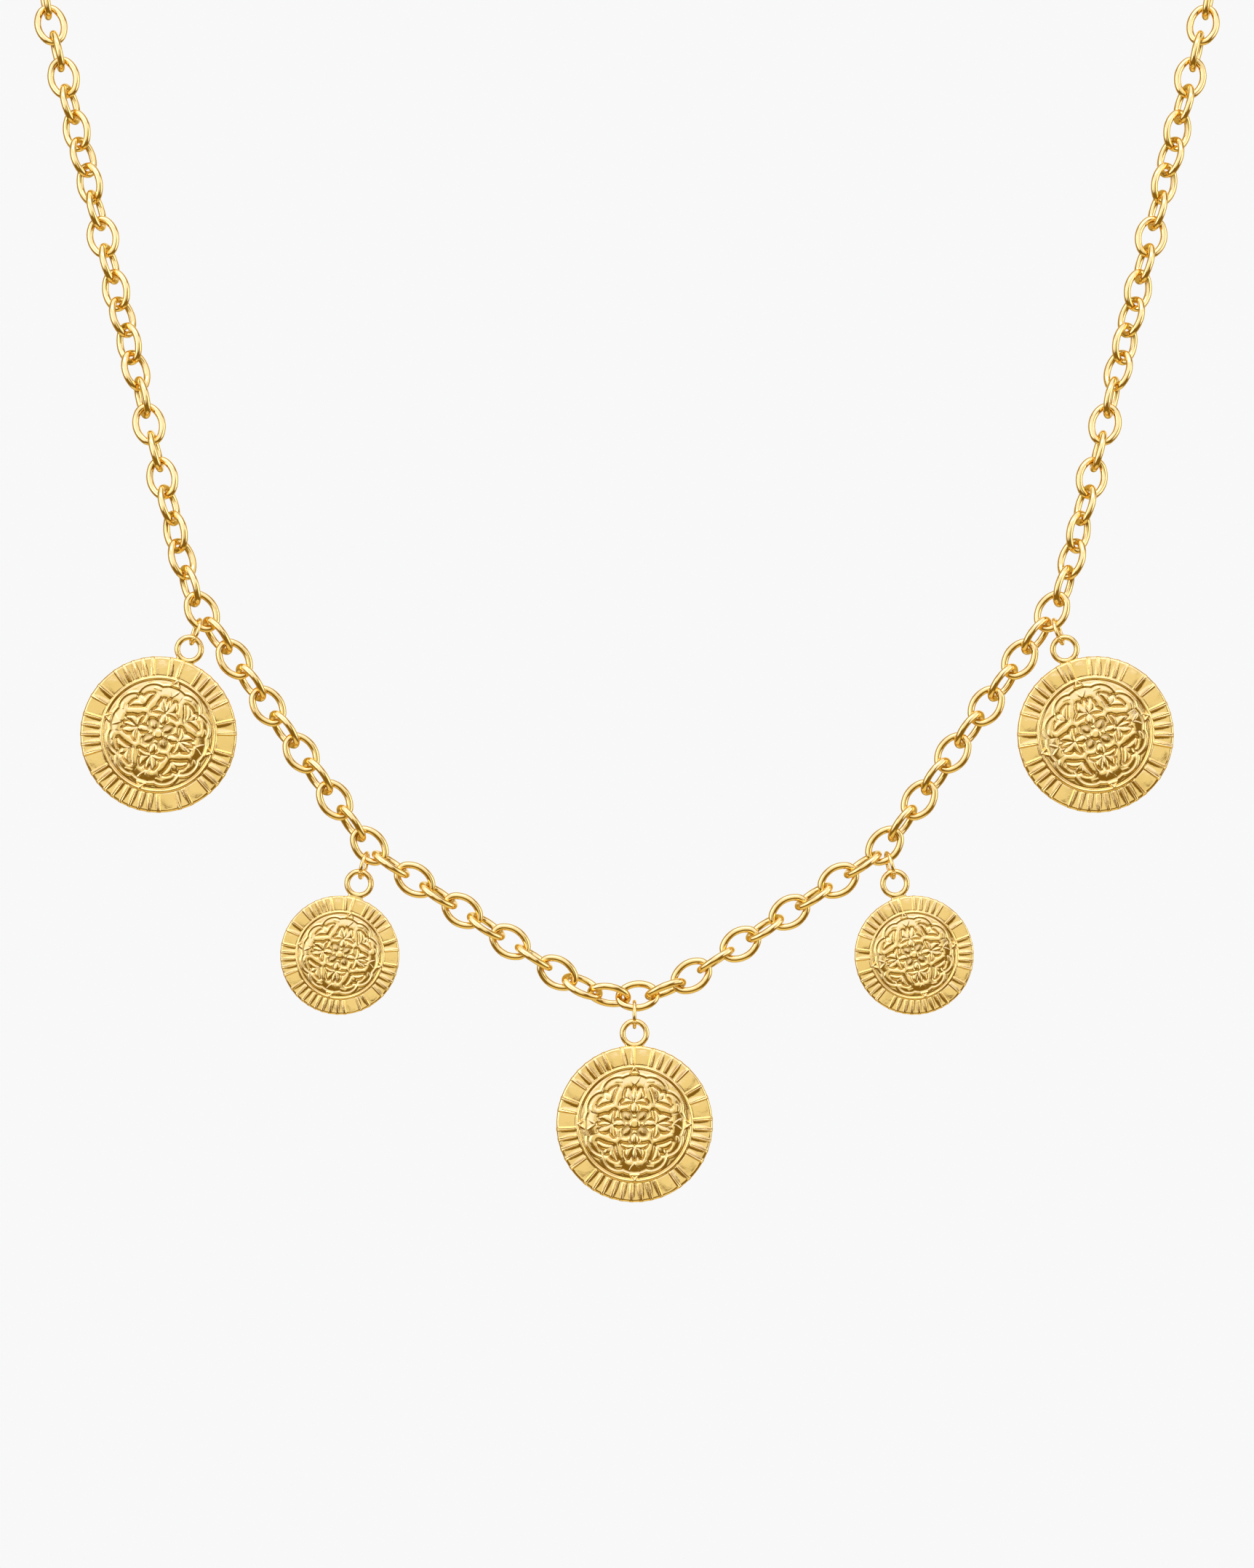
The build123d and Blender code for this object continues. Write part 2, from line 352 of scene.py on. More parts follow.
class NodeGroup:
    """A shader node group in the making, with named inputs and outputs."""

    def __init__(self, name: str, inputs: dict[str, str]) -> None:
        """Starts a group.

        Args:
            name: Name of the group.
            inputs: The kind of each input socket, such as Float or Color, by its name.
        """
        self.tree = bpy.data.node_groups.new(name, "ShaderNodeTree")
        self.entry = self.tree.nodes.new("NodeGroupInput")
        self.exit = self.tree.nodes.new("NodeGroupOutput")
        for label, kind in inputs.items():
            self.tree.interface.new_socket(label, in_out="INPUT", socket_type=f"NodeSocket{kind}")

    def add_output(self, name: str, kind: str, source: bpy.types.NodeSocket) -> None:
        """Adds an output socket and links its source to it."""
        self.tree.interface.new_socket(name, in_out="OUTPUT", socket_type=f"NodeSocket{kind}")
        self.tree.links.new(source, self.exit.inputs[name])

    def add(self, kind: str, **settings: object) -> bpy.types.Node:
        """Adds a node.

        Args:
            kind: Type of the node.
            settings: Values of its properties.

        Returns:
            The new node.
        """
        node = self.tree.nodes.new(kind)
        for name, value in settings.items():
            setattr(node, name, value)
        return node

    def link(self, source: object, node: bpy.types.Node, socket: str | int) -> None:
        """Links a socket, or sets a number, as one input of a node.

        Args:
            source: The socket or the number.
            node: The node that takes it.
            socket: Name or number of the node's input.
        """
        if isinstance(source, bpy.types.NodeSocket):
            self.tree.links.new(source, node.inputs[socket])
        else:
            node.inputs[socket].default_value = source

    def noise(self, scale: object, detail: float) -> bpy.types.NodeSocket:
        """Noise fixed to the piece.

        Args:
            scale: Number or socket for how many times it repeats in a metre.
            detail: How many finer layers it has.

        Returns:
            The noise's value socket.
        """
        place = self.add("ShaderNodeTexCoord")
        node = self.add("ShaderNodeTexNoise", noise_dimensions="3D")
        self.link(place.outputs["Object"], node, "Vector")
        self.link(scale, node, "Scale")
        self.link(detail, node, "Detail")
        return node.outputs["Fac"]

    def reach(self, value: object, low: float, high: float) -> bpy.types.NodeSocket:
        """A value stretched to the range from 0 to 1 and held in it, with soft ends.

        Args:
            value: The number or socket.
            low: Value that gives 0.
            high: Value that gives 1.

        Returns:
            The socket with the result.
        """
        node = self.add("ShaderNodeMapRange", interpolation_type="SMOOTHSTEP")
        self.link(value, node, "Value")
        self.link(low, node, "From Min")
        self.link(high, node, "From Max")
        return node.outputs["Result"]

    def math(self, operation: str, first: object, second: object) -> bpy.types.NodeSocket:
        """The result of an operation on two numbers or sockets.

        Args:
            operation: Name of the Math node's operation.
            first: The first number or socket.
            second: The second one.

        Returns:
            The socket with the result.
        """
        node = self.add("ShaderNodeMath", operation=operation)
        self.link(first, node, 0)
        self.link(second, node, 1)
        return node.outputs[0]

    def blend(self, share: object, first: object, second: object) -> bpy.types.NodeSocket:
        """Two colours mixed by a share.

        Args:
            share: Share of the second colour, as a number or socket.
            first: Colour at a share of 0.
            second: Colour at a share of 1.

        Returns:
            The socket with the mixed colour.
        """
        node = self.add("ShaderNodeMix", data_type="RGBA")
        self.link(share, node, "Factor")
        self.link(first, node, MIX_FIRST)
        self.link(second, node, MIX_SECOND)
        return node.outputs[MIX_RESULT]


def gold_tone_and_shade_group() -> bpy.types.NodeTree:
    """Colour of gold plate: clear on the heights, cloudy in patches, with painted shade darkening
    the hollows.

    Returns:
        A group with the colours, the painted-shade mask and the amounts as inputs, and the colour
        as output.
    """
    inputs = dict.fromkeys(("Clear", "Cloudy", "Painted shade colour"), "Color")
    inputs |= dict.fromkeys(("Painted shade", "Patches per metre", "Painted shade share"), "Float")
    group = NodeGroup(TONE_SHADE_GROUP, inputs)
    given = group.entry.outputs
    patches = group.reach(group.noise(given["Patches per metre"], detail=3), low=0.35, high=0.7)
    body = group.blend(patches, given["Clear"], given["Cloudy"])
    # Painted shade: the mask mixes in a darker gold where shade falls in hollows and joints
    hollow = group.math("MULTIPLY", given["Painted shade"], given["Painted shade share"])
    group.add_output("Color", "Color", group.blend(hollow, body, given["Painted shade colour"]))
    return group.tree


def handled_polish_group() -> bpy.types.NodeTree:
    """Roughness of polished metal: smeared by handling, and left matt in hollows.

    Returns:
        A group with the roughness values and the painted-shade mask as inputs, and the roughness
        as output.
    """
    names = ("Polish", "Smear", "Smears per metre", "Painted shade", "Hollow matt")
    group = NodeGroup(POLISH_GROUP, dict.fromkeys(names, "Float"))
    given = group.entry.outputs
    smears = group.reach(group.noise(given["Smears per metre"], detail=4), low=0.42, high=0.72)
    smeared = group.math("MULTIPLY", smears, given["Smear"])
    matt = group.math("MULTIPLY", given["Painted shade"], given["Hollow matt"])
    added = group.math("ADD", smeared, matt)
    group.add_output("Roughness", "Float", group.math("ADD", added, given["Polish"]))
    return group.tree


def cast_skin_group() -> bpy.types.NodeTree:
    """Height of a worn cast skin: a soft unevenness with a fine grain on it.

    Returns:
        A group with the scales and shares as inputs, and the height as output.
    """
    names = ("Waves per metre", "Grains per metre", "Grain share")
    group = NodeGroup(SKIN_GROUP, dict.fromkeys(names, "Float"))
    given = group.entry.outputs
    waves = group.noise(given["Waves per metre"], detail=2)
    grain = group.noise(given["Grains per metre"], detail=3)
    grains = group.math("MULTIPLY", grain, given["Grain share"])
    group.add_output("Height", "Float", group.math("ADD", waves, grains))
    return group.tree


@dataclass(frozen=True)
class GoldFinish:
    """One finish of gold plate.

    Attributes:
        name: Name of the material.
        clear: Colour on clean heights.
        cloudy: Colour of duller patches.
        painted_shade_colour: Colour of the painted shade in hollows.
        patches: Dull patches in a metre.
        painted_shade_share: How far the painted shade darkens the hollows.
        polish: Roughness of the clean metal.
        smear: Roughness that handling adds.
        smears: Smears in a metre.
        hollow_matt: Roughness that a hollow adds.
        waves: Soft waves of the skin in a metre.
        grains: Grains of the skin in a metre.
        grain_share: Height of the grain beside the waves.
        skin_depth: Depth of the skin's unevenness, in metres.
    """

    name: str
    clear: tuple[float, float, float, float] = (1.0, 0.73, 0.24, 1)
    cloudy: tuple[float, float, float, float] = (0.96, 0.69, 0.21, 1)
    painted_shade_colour: tuple[float, float, float, float] = (0.55, 0.34, 0.08, 1)
    patches: float = 260
    painted_shade_share: float = 0.55
    polish: float = 0.06
    smear: float = 0.05
    smears: float = 420
    hollow_matt: float = 0.12
    waves: float = 900
    grains: float = 7000
    grain_share: float = 0.15
    skin_depth: float = 0.000015

    def material(self) -> bpy.types.Material:
        """The finish as a material.

        Returns:
            The material, made once for each finish.
        """
        made = bpy.data.materials.get(self.name)
        if made is not None:
            return made
        made = bpy.data.materials.new(self.name)
        made.use_nodes = True
        nodes, links = made.node_tree.nodes, made.node_tree.links
        shader = nodes["Principled BSDF"]
        shader.inputs["Metallic"].default_value = 1.0
        # Reads the per-corner painted-shade mask, which darkens the colour and adds matt
        # roughness
        painted_shade = nodes.new("ShaderNodeAttribute")
        painted_shade.attribute_name = "painted_shade"
        tone_values = {
            "Clear": self.clear,
            "Cloudy": self.cloudy,
            "Painted shade colour": self.painted_shade_colour,
            "Patches per metre": self.patches,
            "Painted shade share": self.painted_shade_share,
        }
        polish_values = {
            "Polish": self.polish,
            "Smear": self.smear,
            "Smears per metre": self.smears,
            "Hollow matt": self.hollow_matt,
        }
        skin_values = {
            "Waves per metre": self.waves,
            "Grains per metre": self.grains,
            "Grain share": self.grain_share,
        }
        tone = self._placed(nodes, TONE_SHADE_GROUP, tone_values)
        polish = self._placed(nodes, POLISH_GROUP, polish_values)
        skin = self._placed(nodes, SKIN_GROUP, skin_values)
        bump = nodes.new("ShaderNodeBump")
        bump.inputs["Distance"].default_value = self.skin_depth
        links.new(painted_shade.outputs["Fac"], tone.inputs["Painted shade"])
        links.new(painted_shade.outputs["Fac"], polish.inputs["Painted shade"])
        links.new(tone.outputs["Color"], shader.inputs["Base Color"])
        links.new(polish.outputs["Roughness"], shader.inputs["Roughness"])
        links.new(skin.outputs["Height"], bump.inputs["Height"])
        links.new(bump.outputs["Normal"], shader.inputs["Normal"])
        return made

    @staticmethod
    def _placed(nodes: bpy.types.Nodes, group: str, values: dict[str, object]) -> bpy.types.Node:
        """Places a shared group among a material's nodes.

        Args:
            nodes: The material's nodes.
            group: Name of the group.
            values: Values of its inputs, by their names.

        Returns:
            The group's node.
        """
        node = nodes.new("ShaderNodeGroup")
        node.node_tree = bpy.data.node_groups[group]
        for name, value in values.items():
            node.inputs[name].default_value = value
        return node


CHAIN_FINISH = GoldFinish("polished link gold")
RING_FINISH = GoldFinish("drawn wire gold", polish=0.05, smear=0.04)
COIN_FINISH = GoldFinish(
    "cast coin gold", polish=0.09, smear=0.08, patches=180, waves=700, skin_depth=0.00006
)


def add_piece(
    name: str, shell: Shell, finish: GoldFinish, body: str, node: str
) -> None:
    """Puts a finished piece in place of a CAD node.

    Args:
        name: Name of the piece.
        shell: Its shape, in the frame's metres.
        finish: Its finish.
        body: The body that it rides on.
        node: The CAD node that it stands for.
    """
    piece = bpy.data.objects.new(name, shell.mesh(name))
    bpy.context.scene.collection.objects.link(piece)
    piece.data.materials.append(finish.material())
    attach(piece, body)
    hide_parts(node)
    log.info("%s rides on %s: %d faces", name, body, len(shell.faces))


@dataclass(frozen=True)
class CableLink:
    """One chain link: an oval of round wire from two round ends and two flatter sides.

    Attributes:
        length: Outer length.
        width: Outer width.
        wire: Wire's diameter.
        end_radius: Radius of the centre line round an end.
        end_steps: Steps round each end.
        side_steps: Steps along each side.
        sides: Sides of the wire's section.
        solder_swell: Share by which the soldered joint thickens the wire.
        solder_reach: Length of that swelling.
        end_painted_shade: Painted shade on the inside of the ends, where the links cross.
    """

    length: float = 5.12
    width: float = 3.85
    wire: float = 0.81
    end_radius: float = 1.2
    end_steps: int = 12
    side_steps: int = 10
    sides: int = 14
    solder_swell: float = 0.035
    solder_reach: float = 0.3
    end_painted_shade: float = 0.5

    def shell(self, solder_side: int) -> Shell:
        """The link, flat in the XY plane with its length along X.

        Args:
            solder_side: 1 for a solder joint in the +Y side, -1 for the other.

        Returns:
            The link in local millimetres.
        """
        half_length = (self.length - self.wire) / 2
        half_width = (self.width - self.wire) / 2
        end_centre = half_length - self.end_radius
        side_radius = (end_centre**2 + half_width**2 - self.end_radius**2) / (
            2 * (half_width - self.end_radius)
        )
        side_centre = side_radius - half_width
        joint = math.atan2(end_centre, side_centre)
        quarter = math.pi / 2
        arcs = (
            ((end_centre, 0), self.end_radius, joint - quarter, quarter - joint, self.end_steps),
            ((0, -side_centre), side_radius, quarter - joint, quarter + joint, self.side_steps),
        )
        line, outward = [], []
        for half in (1, -1):
            for centre, radius, start, end, steps in arcs:
                angle = np.linspace(start, end, steps, endpoint=False)
                way = half * np.stack([np.cos(angle), np.sin(angle)], axis=1)
                line.append(half * np.array(centre) + radius * way)
                outward.append(way)
        line, outward = np.concatenate(line), np.concatenate(outward)
        on_solder_side = line[:, 1] * solder_side > 0
        swell = self.solder_swell * bell(line[:, 0], self.solder_reach) * on_solder_side
        # Painted shade toward the ends, where the next links cross
        ends = self.end_painted_shade * soft_step(np.abs(line[:, 0]), end_centre, half_length)
        return tube(line, outward, self.wire / 2 * (1 + swell), self.sides, ends)


@dataclass(frozen=True)
class ChainHalf:
    """One half of the chain, from the front centre to the nape.

    Attributes:
        side: Which half, left or right.
        link: The link that repeats.
        turned_every: One link in this many has its solder joint on its other side.
    """

    side: str
    link: CableLink = CableLink()
    turned_every: int = 3

    def build(self) -> None:
        """Builds the half's links where the frame has them, as one piece."""
        node = f"chain_{self.side}"
        shapes = {side: self.link.shell(side) for side in (-1, 1)}
        links = [
            solid.place().put(shapes[1 if number % self.turned_every else -1])
            for number, solid in enumerate(loose_solids(node))
        ]
        name = f"{self.side}_chain_links"
        add_piece(name, Shell.joined(links), CHAIN_FINISH, ROOT_BODY, node)


@dataclass(frozen=True)
class JumpRing:
    """A jump ring: one turn of round wire whose ends butt.

    Attributes:
        node: CAD node that it stands for.
        body: Body that it rides on.
        outer: Outer diameter.
        wire: Wire's diameter.
        gap: Gap between the wire's ends.
        chamfer: How much comes off all round the cut ends, as a share of the wire.
        joint_angle: Where the ends meet, from the top, round the ring.
        steps: Steps round the ring.
        sides: Sides of the wire's section.
    """

    node: str
    body: str = ROOT_BODY
    outer: float = 3.4
    wire: float = 0.43
    gap: float = 0.05
    chamfer: float = 0.12
    joint_angle: float = 118
    steps: int = 72
    sides: int = 18

    def shell(self) -> Shell:
        """The ring round Z with its top toward X.

        Returns:
            The open ring in local millimetres, with its wire's two ends capped.
        """
        radius = (self.outer - self.wire) / 2
        half_gap = self.gap / 2 / radius
        start = math.radians(self.joint_angle)
        angle = np.linspace(start + half_gap, start + 2 * math.pi - half_gap, self.steps)
        thickness = np.full(self.steps, self.wire / 2)
        thickness[[0, -1]] *= 1 - 2 * self.chamfer
        outward = np.stack([np.cos(angle), np.sin(angle)], axis=1)
        body = tube(outward * radius, outward, thickness, self.sides, np.zeros(self.steps))
        open_faces = body.faces[: -self.sides]
        last = (self.steps - 1) * self.sides
        caps = [
            tuple(range(self.sides)),
            tuple(last + corner for corner in reversed(range(self.sides))),
        ]
        return Shell(body.points, open_faces + caps, body.painted_shade)

    def build(self) -> None:
        """Builds the ring where the frame has it."""
        (solid,) = loose_solids(self.node)
        flat = solid.place()
        hole_way = flat.axes[2] * (1 if flat.axes[2][0] > 0 else -1)
        top_way = np.array([0, 0, 1]) - hole_way[2] * hole_way
        top_way /= np.linalg.norm(top_way)
        place = Place(flat.origin, np.array([top_way, np.cross(hole_way, top_way), hole_way]))
        name = self.node.replace("jump_ring", "wire_ring")
        add_piece(name, place.put(self.shell()), RING_FINISH, self.body, self.node)


@dataclass(frozen=True)
class Clasp:
    """The plain clasp at the nape: a round ring with a soldered eye.

    Attributes:
        outer: Outer diameter of the ring.
        wire: Its thickness.
        eye_outer: Outer diameter of the eye.
        eye_wire: Its thickness.
        eye_overlap: How far the eye sinks into the ring.
        ring_steps: Steps round the ring, and sides of its section.
        eye_steps: The same of the eye.
        grid: Face size of the fused skin.
        rounds: Smoothing of the soldered joint.
    """

    outer: float = 6.5
    wire: float = 1.3
    eye_outer: float = 3.0
    eye_wire: float = 0.7
    eye_overlap: float = 0.35
    ring_steps: tuple[int, int] = (72, 28)
    eye_steps: tuple[int, int] = (48, 20)
    grid: float = 0.1
    rounds: int = 4

    def build(self) -> None:
        """Builds the clasp in its solid's box, upright, with its eye toward -X."""
        low, high = (np.array(corner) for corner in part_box("clasp"))
        ring = ring_tube((self.outer - self.wire) / 2, self.wire, *self.ring_steps)
        eye = ring_tube((self.eye_outer - self.eye_wire) / 2, self.eye_wire, *self.eye_steps)
        eye.points[:, 0] -= (self.outer + self.eye_outer) / 2 - self.eye_overlap
        middle = np.array([high[0] - self.outer / 2 * MM, *(low + high)[1:] / 2])
        place = Place(middle, np.array([[1, 0, 0], [0, 0, 1], [0, -1, 0]]))
        skin = fused([ring, eye], self.grid, self.rounds)
        add_piece("nape_clasp", place.put(skin), RING_FINISH, ROOT_BODY, "clasp")


def folded(angle: np.ndarray) -> np.ndarray:
    """Angle from the nearest of a coin's four axes, in degrees, from -45 to 45."""
    return (angle + 45) % 90 - 45


@dataclass(frozen=True)
class Leaf:
    """A leaf of the ornament, four times round. Lengths are shares of the coin's radius.

    Attributes:
        root: How far out it springs.
        bearing: Which way round from the axis it stands, in degrees.
        turn: Its own turn from pointing outward, in degrees.
        length: Its length.
        width: Its width.
        bend: How far its middle bows sideways.
        relief: How it stands on its ground.
        bluntness: Radius that rounds its tips, as a share of its width.
    """

    root: float
    bearing: float
    turn: float
    length: float
    width: float
    bend: float = 0.0
    relief: Relief = Relief.RAISED
    bluntness: float = 0.24

    def distance(self, out: np.ndarray, angle: np.ndarray) -> np.ndarray:
        """How far points lie from the leaf's edge, negative inside.

        Args:
            out: Distance of each point from the coin's centre.
            angle: Its angle, in degrees.

        Returns:
            The distance at each point, as a share of the coin's radius.
        """
        way = np.radians(folded(angle - self.bearing))
        turn = math.radians(self.turn)
        along = out * np.cos(way) - self.root
        across = out * np.sin(way)
        forward = along * math.cos(turn) + across * math.sin(turn)
        aside = across * math.cos(turn) - along * math.sin(turn)
        share = np.clip(forward / self.length, 0, 1)
        aside = aside - self.bend * 4 * share * (1 - share)
        rounding = self.width * self.bluntness
        length, width = self.length - 2 * rounding, self.width - 2 * rounding
        radius = (length**2 + width**2) / (4 * width)
        centre_away = radius - width / 2
        half = length / 2
        beyond, aside = np.abs(forward - self.length / 2), np.abs(aside)
        past_tip = (beyond - half) * centre_away > aside * half
        from_tip = np.hypot(aside, beyond - half)
        from_side = np.hypot(aside + centre_away, beyond) - radius
        return np.where(past_tip, from_tip, from_side) - rounding


ORNAMENT = (
    Leaf(0.055, 45, 0, 0.16, 0.12, relief=Relief.SUNK),
    Leaf(0.125, 0, 0, 0.15, 0.1),
    Leaf(0.3, 0, 0, 0.165, 0.066),
    Leaf(0.285, 0, 27, 0.19, 0.1, bend=0.03),
    Leaf(0.285, 0, -27, 0.19, 0.1, bend=-0.03),
    Leaf(0.28, 0, 98, 0.175, 0.066, bend=-0.026),
    Leaf(0.28, 0, -98, 0.175, 0.066, bend=0.026),
    Leaf(0.4, 45, 0, 0.15, 0.1),
    Leaf(0.405, 45, 64, 0.2, 0.085, bend=-0.036),
    Leaf(0.405, 45, -64, 0.2, 0.085, bend=0.036),
    Leaf(0.5, 0, 35, 0.12, 0.026, relief=Relief.LINE),
    Leaf(0.5, 0, -35, 0.12, 0.026, relief=Relief.LINE),
    Leaf(0.56, 16, 72, 0.1, 0.036, bend=-0.012, relief=Relief.LINE),
    Leaf(0.56, -16, -72, 0.1, 0.036, bend=0.012, relief=Relief.LINE),
)


@dataclass(frozen=True)
class RibGroup:
    """A run of evenly spaced ribs on a coin's rim.

    Attributes:
        first: Clockwise angle of the first rib from the top.
        count: Number of ribs.
        spacing: Angle from one to the next.
    """

    first: float
    count: int
    spacing: float

    def angles(self) -> np.ndarray:
        """Clockwise angle of each rib."""
        return self.first + self.spacing * np.arange(self.count)


RIB_GROUPS = (
    RibGroup(14.5, 5, 7.4),
    RibGroup(60, 2, 9.5),
    RibGroup(86, 5, 8.1),
    RibGroup(135, 2, 9),
    RibGroup(160, 9, 7.45),
    RibGroup(235.5, 5, 7.65),
    RibGroup(281, 2, 9),
    RibGroup(306, 5, 7.5),
    RibGroup(350.5, 2, 8.5),
)


@dataclass(frozen=True)
class PaintedShadeLine:
    """A line of painted shade where a raised form meets its ground.

    Attributes:
        shade: Its painted shade where it is darkest.
        away: How far from the form's edge it lies, as a share of the coin's radius.
        width: How wide it is, as such a share.
    """

    shade: float
    away: float
    width: float

    def painted_shade(self, distance: np.ndarray) -> np.ndarray:
        """Painted shade at a distance from the form's edge."""
        return self.shade * bell(distance - self.away, self.width)


@dataclass(frozen=True)
class Wave:
    """A straight wave over a coin's face.

    Attributes:
        across: How fast it runs across the face, in radians a radius.
        up: How fast it runs up the face.
        start: Where it starts, in radians.
    """

    across: float
    up: float
    start: float = 0.0

    def height(self, across: np.ndarray, up: np.ndarray) -> np.ndarray:
        """Its height at places across and up the face, from -1 to 1."""
        return np.sin(self.across * across + self.up * up + self.start)


@dataclass(frozen=True)
class CoinFace:
    """The modelled face of a medallion.

    Places and widths across the face are shares of its radius. Heights are millimetres above
    the back of the large coin, and the small coin's are in proportion.

    Attributes:
        rim_height: Height of the flat rim.
        crest_height: Height of the round ring between rim and field.
        dome_height: Height of the field's middle.
        dome_fall: Power by which the dome falls away from it.
        relief: How far the ornament stands above its ground.
        sink: How far its pockets are sunk in that ground.
        line_height: Height of its thin lines.
        frame_puff: How much the ground swells between the frame line and the ring.
        frame_puff_width: How far from them the swelling is full.
        pocket_puff: How much it swells between the pockets.
        pocket_puff_width: How far from a pocket the swelling is full.
        rib_height: Height of a rib on the rim.
        ring_outside: Where the round ring ends toward the rim.
        ring_middle: Where its crest is.
        ring_inside: Where it ends toward the field.
        ring_foot_in: Shaded line along its inner side.
        ring_foot_out: Shaded line along its outer side.
        rib_inner: Where a rib starts.
        rib_outer: Where it reaches its outer width.
        rib_inner_width: Its width where it starts.
        rib_outer_width: Its outer width.
        rib_side: Half the width of its sloping side.
        rib_groove: Depth of the groove along its back.
        rib_groove_width: Width of that groove.
        rib_foot: Shaded line along a rib in a fluted stretch.
        rib_rise: How far before and past rib_inner ribs and flutes rise from the ring.
        flute_span: Widest angle between ribs that is fluted and not a flat panel.
        flute_depth: How high a flute's sides rise above its bottom.
        rim_fall: How far the rim falls toward the edge.
        rim_fall_power: Power by which it falls.
        flute_fall: How much more a fluted stretch falls, as a share.
        panel_swell: How much a flat panel swells in its middle.
        lip_start: Where the lip along the edge starts.
        lip_slope: Width of its inner side.
        lip_height: Its height.
        frame_lobe: How far out the frame line's large lobes reach.
        frame_diagonal_cusp: Where they meet on the diagonals.
        frame_axis_cusp: Where they meet the small lobes.
        frame_axis_lobe: How far out the small lobes reach.
        frame_axis_span: Half the angle that a small lobe spans, in degrees.
        frame_line: Width of the frame line.
        frame_height: Its height.
        frame_foot: Shaded line along it.
        frame_joint: How softly the swelling off the line meets that off the ring.
        boss_radius: Radius of the boss in the middle.
        boss_lift: Its height, as a share of the relief's.
        boss_flatness: Power that flattens its top.
        boss_round: Power that rounds its edge.
        point_base: Where the three-sided points on the axes start.
        point_tip: Where they end.
        point_slope: Turn of their sides from the axis, in degrees.
        point_height: Height of their rims.
        point_bevel: Width of their outer bevel.
        point_dish: How far their middle is dished, as a share of their height.
        point_dish_edge: Where the dish starts and is full, in from their edge.
        point_foot: Shaded line round them.
        slope: Width of the slope from a sunk leaf's edge to its swell.
        leaf_round: Power that rounds a raised leaf.
        sunk_swell: Height of the swell in a sunk leaf, as a share of the relief's.
        sunk_swell_width: How far in from its slope the swell is full.
        line_soft: Half the width of a thin line's sloping side.
        margin: How far a pocket reaches past its leaves.
        joint: How softly the pockets of neighbouring leaves join.
        pocket_lip: How far outside a pocket's edge the ground starts to fall.
        pocket_wall: How far inside it the floor is reached.
        shade_clear_from: Share of the relief's height at which the painted shade in a pocket
            starts to clear.
        shade_clear_at: Share at which it has cleared.
        slow_waves: Waves that add up to the slow unevenness.
        slow_height: Height of each of them.
        fine_waves: Two waves whose product is the finer unevenness.
        fine_height: Height of that product.
    """

    rim_height: float = 0.95
    crest_height: float = 1.24
    dome_height: float = 1.45
    dome_fall: float = 2.0
    relief: float = 0.05
    sink: float = 0.16
    line_height: float = 0.05
    frame_puff: float = 0.16
    frame_puff_width: float = 0.16
    pocket_puff: float = 0.08
    pocket_puff_width: float = 0.045
    rib_height: float = 0.24
    ring_outside: float = 0.75
    ring_middle: float = 0.724
    ring_inside: float = 0.698
    ring_foot_in: PaintedShadeLine = PaintedShadeLine(0.6, 0, 0.008)
    ring_foot_out: PaintedShadeLine = PaintedShadeLine(0.6, 0, 0.006)
    rib_inner: float = 0.755
    rib_outer: float = 0.985
    rib_inner_width: float = 0.03
    rib_outer_width: float = 0.046
    rib_side: float = 0.01
    rib_groove: float = 0.06
    rib_groove_width: float = 0.008
    rib_foot: PaintedShadeLine = PaintedShadeLine(0.7, 0.024, 0.01)
    rib_rise: tuple[float, float] = (0.015, 0.01)
    flute_span: float = 10.0
    flute_depth: float = 0.2
    rim_fall: float = 0.15
    rim_fall_power: int = 4
    flute_fall: float = 0.8
    panel_swell: float = 0.07
    lip_start: float = 0.955
    lip_slope: float = 0.015
    lip_height: float = 0.035
    frame_lobe: float = 0.655
    frame_diagonal_cusp: float = 0.592
    frame_axis_cusp: float = 0.622
    frame_axis_lobe: float = 0.64
    frame_axis_span: float = 14.0
    frame_line: float = 0.019
    frame_height: float = 0.14
    frame_foot: PaintedShadeLine = PaintedShadeLine(0.6, 0.004, 0.008)
    frame_joint: float = 0.014
    boss_radius: float = 0.07
    boss_lift: float = 1.15
    boss_flatness: int = 4
    boss_round: float = 0.6
    point_base: float = 0.632
    point_tip: float = 0.752
    point_slope: float = 56.0
    point_height: float = 1.3
    point_bevel: float = 0.012
    point_dish: float = 0.45
    point_dish_edge: tuple[float, float] = (0.02, 0.035)
    point_foot: PaintedShadeLine = PaintedShadeLine(0.5, 0.004, 0.007)
    slope: float = 0.02
    leaf_round: float = 0.75
    sunk_swell: float = 0.45
    sunk_swell_width: float = 0.04
    line_soft: float = 0.008
    margin: float = 0.016
    joint: float = 0.008
    pocket_lip: float = 0.008
    pocket_wall: float = 0.014
    shade_clear_from: float = 0.1
    shade_clear_at: float = 0.6
    slow_waves: tuple[Wave, ...] = (Wave(9, 4, 0.6), Wave(-6, 13, 2.1))
    slow_height: float = 0.018
    fine_waves: tuple[Wave, ...] = (Wave(23, 17), Wave(-8, 19))
    fine_height: float = 0.009

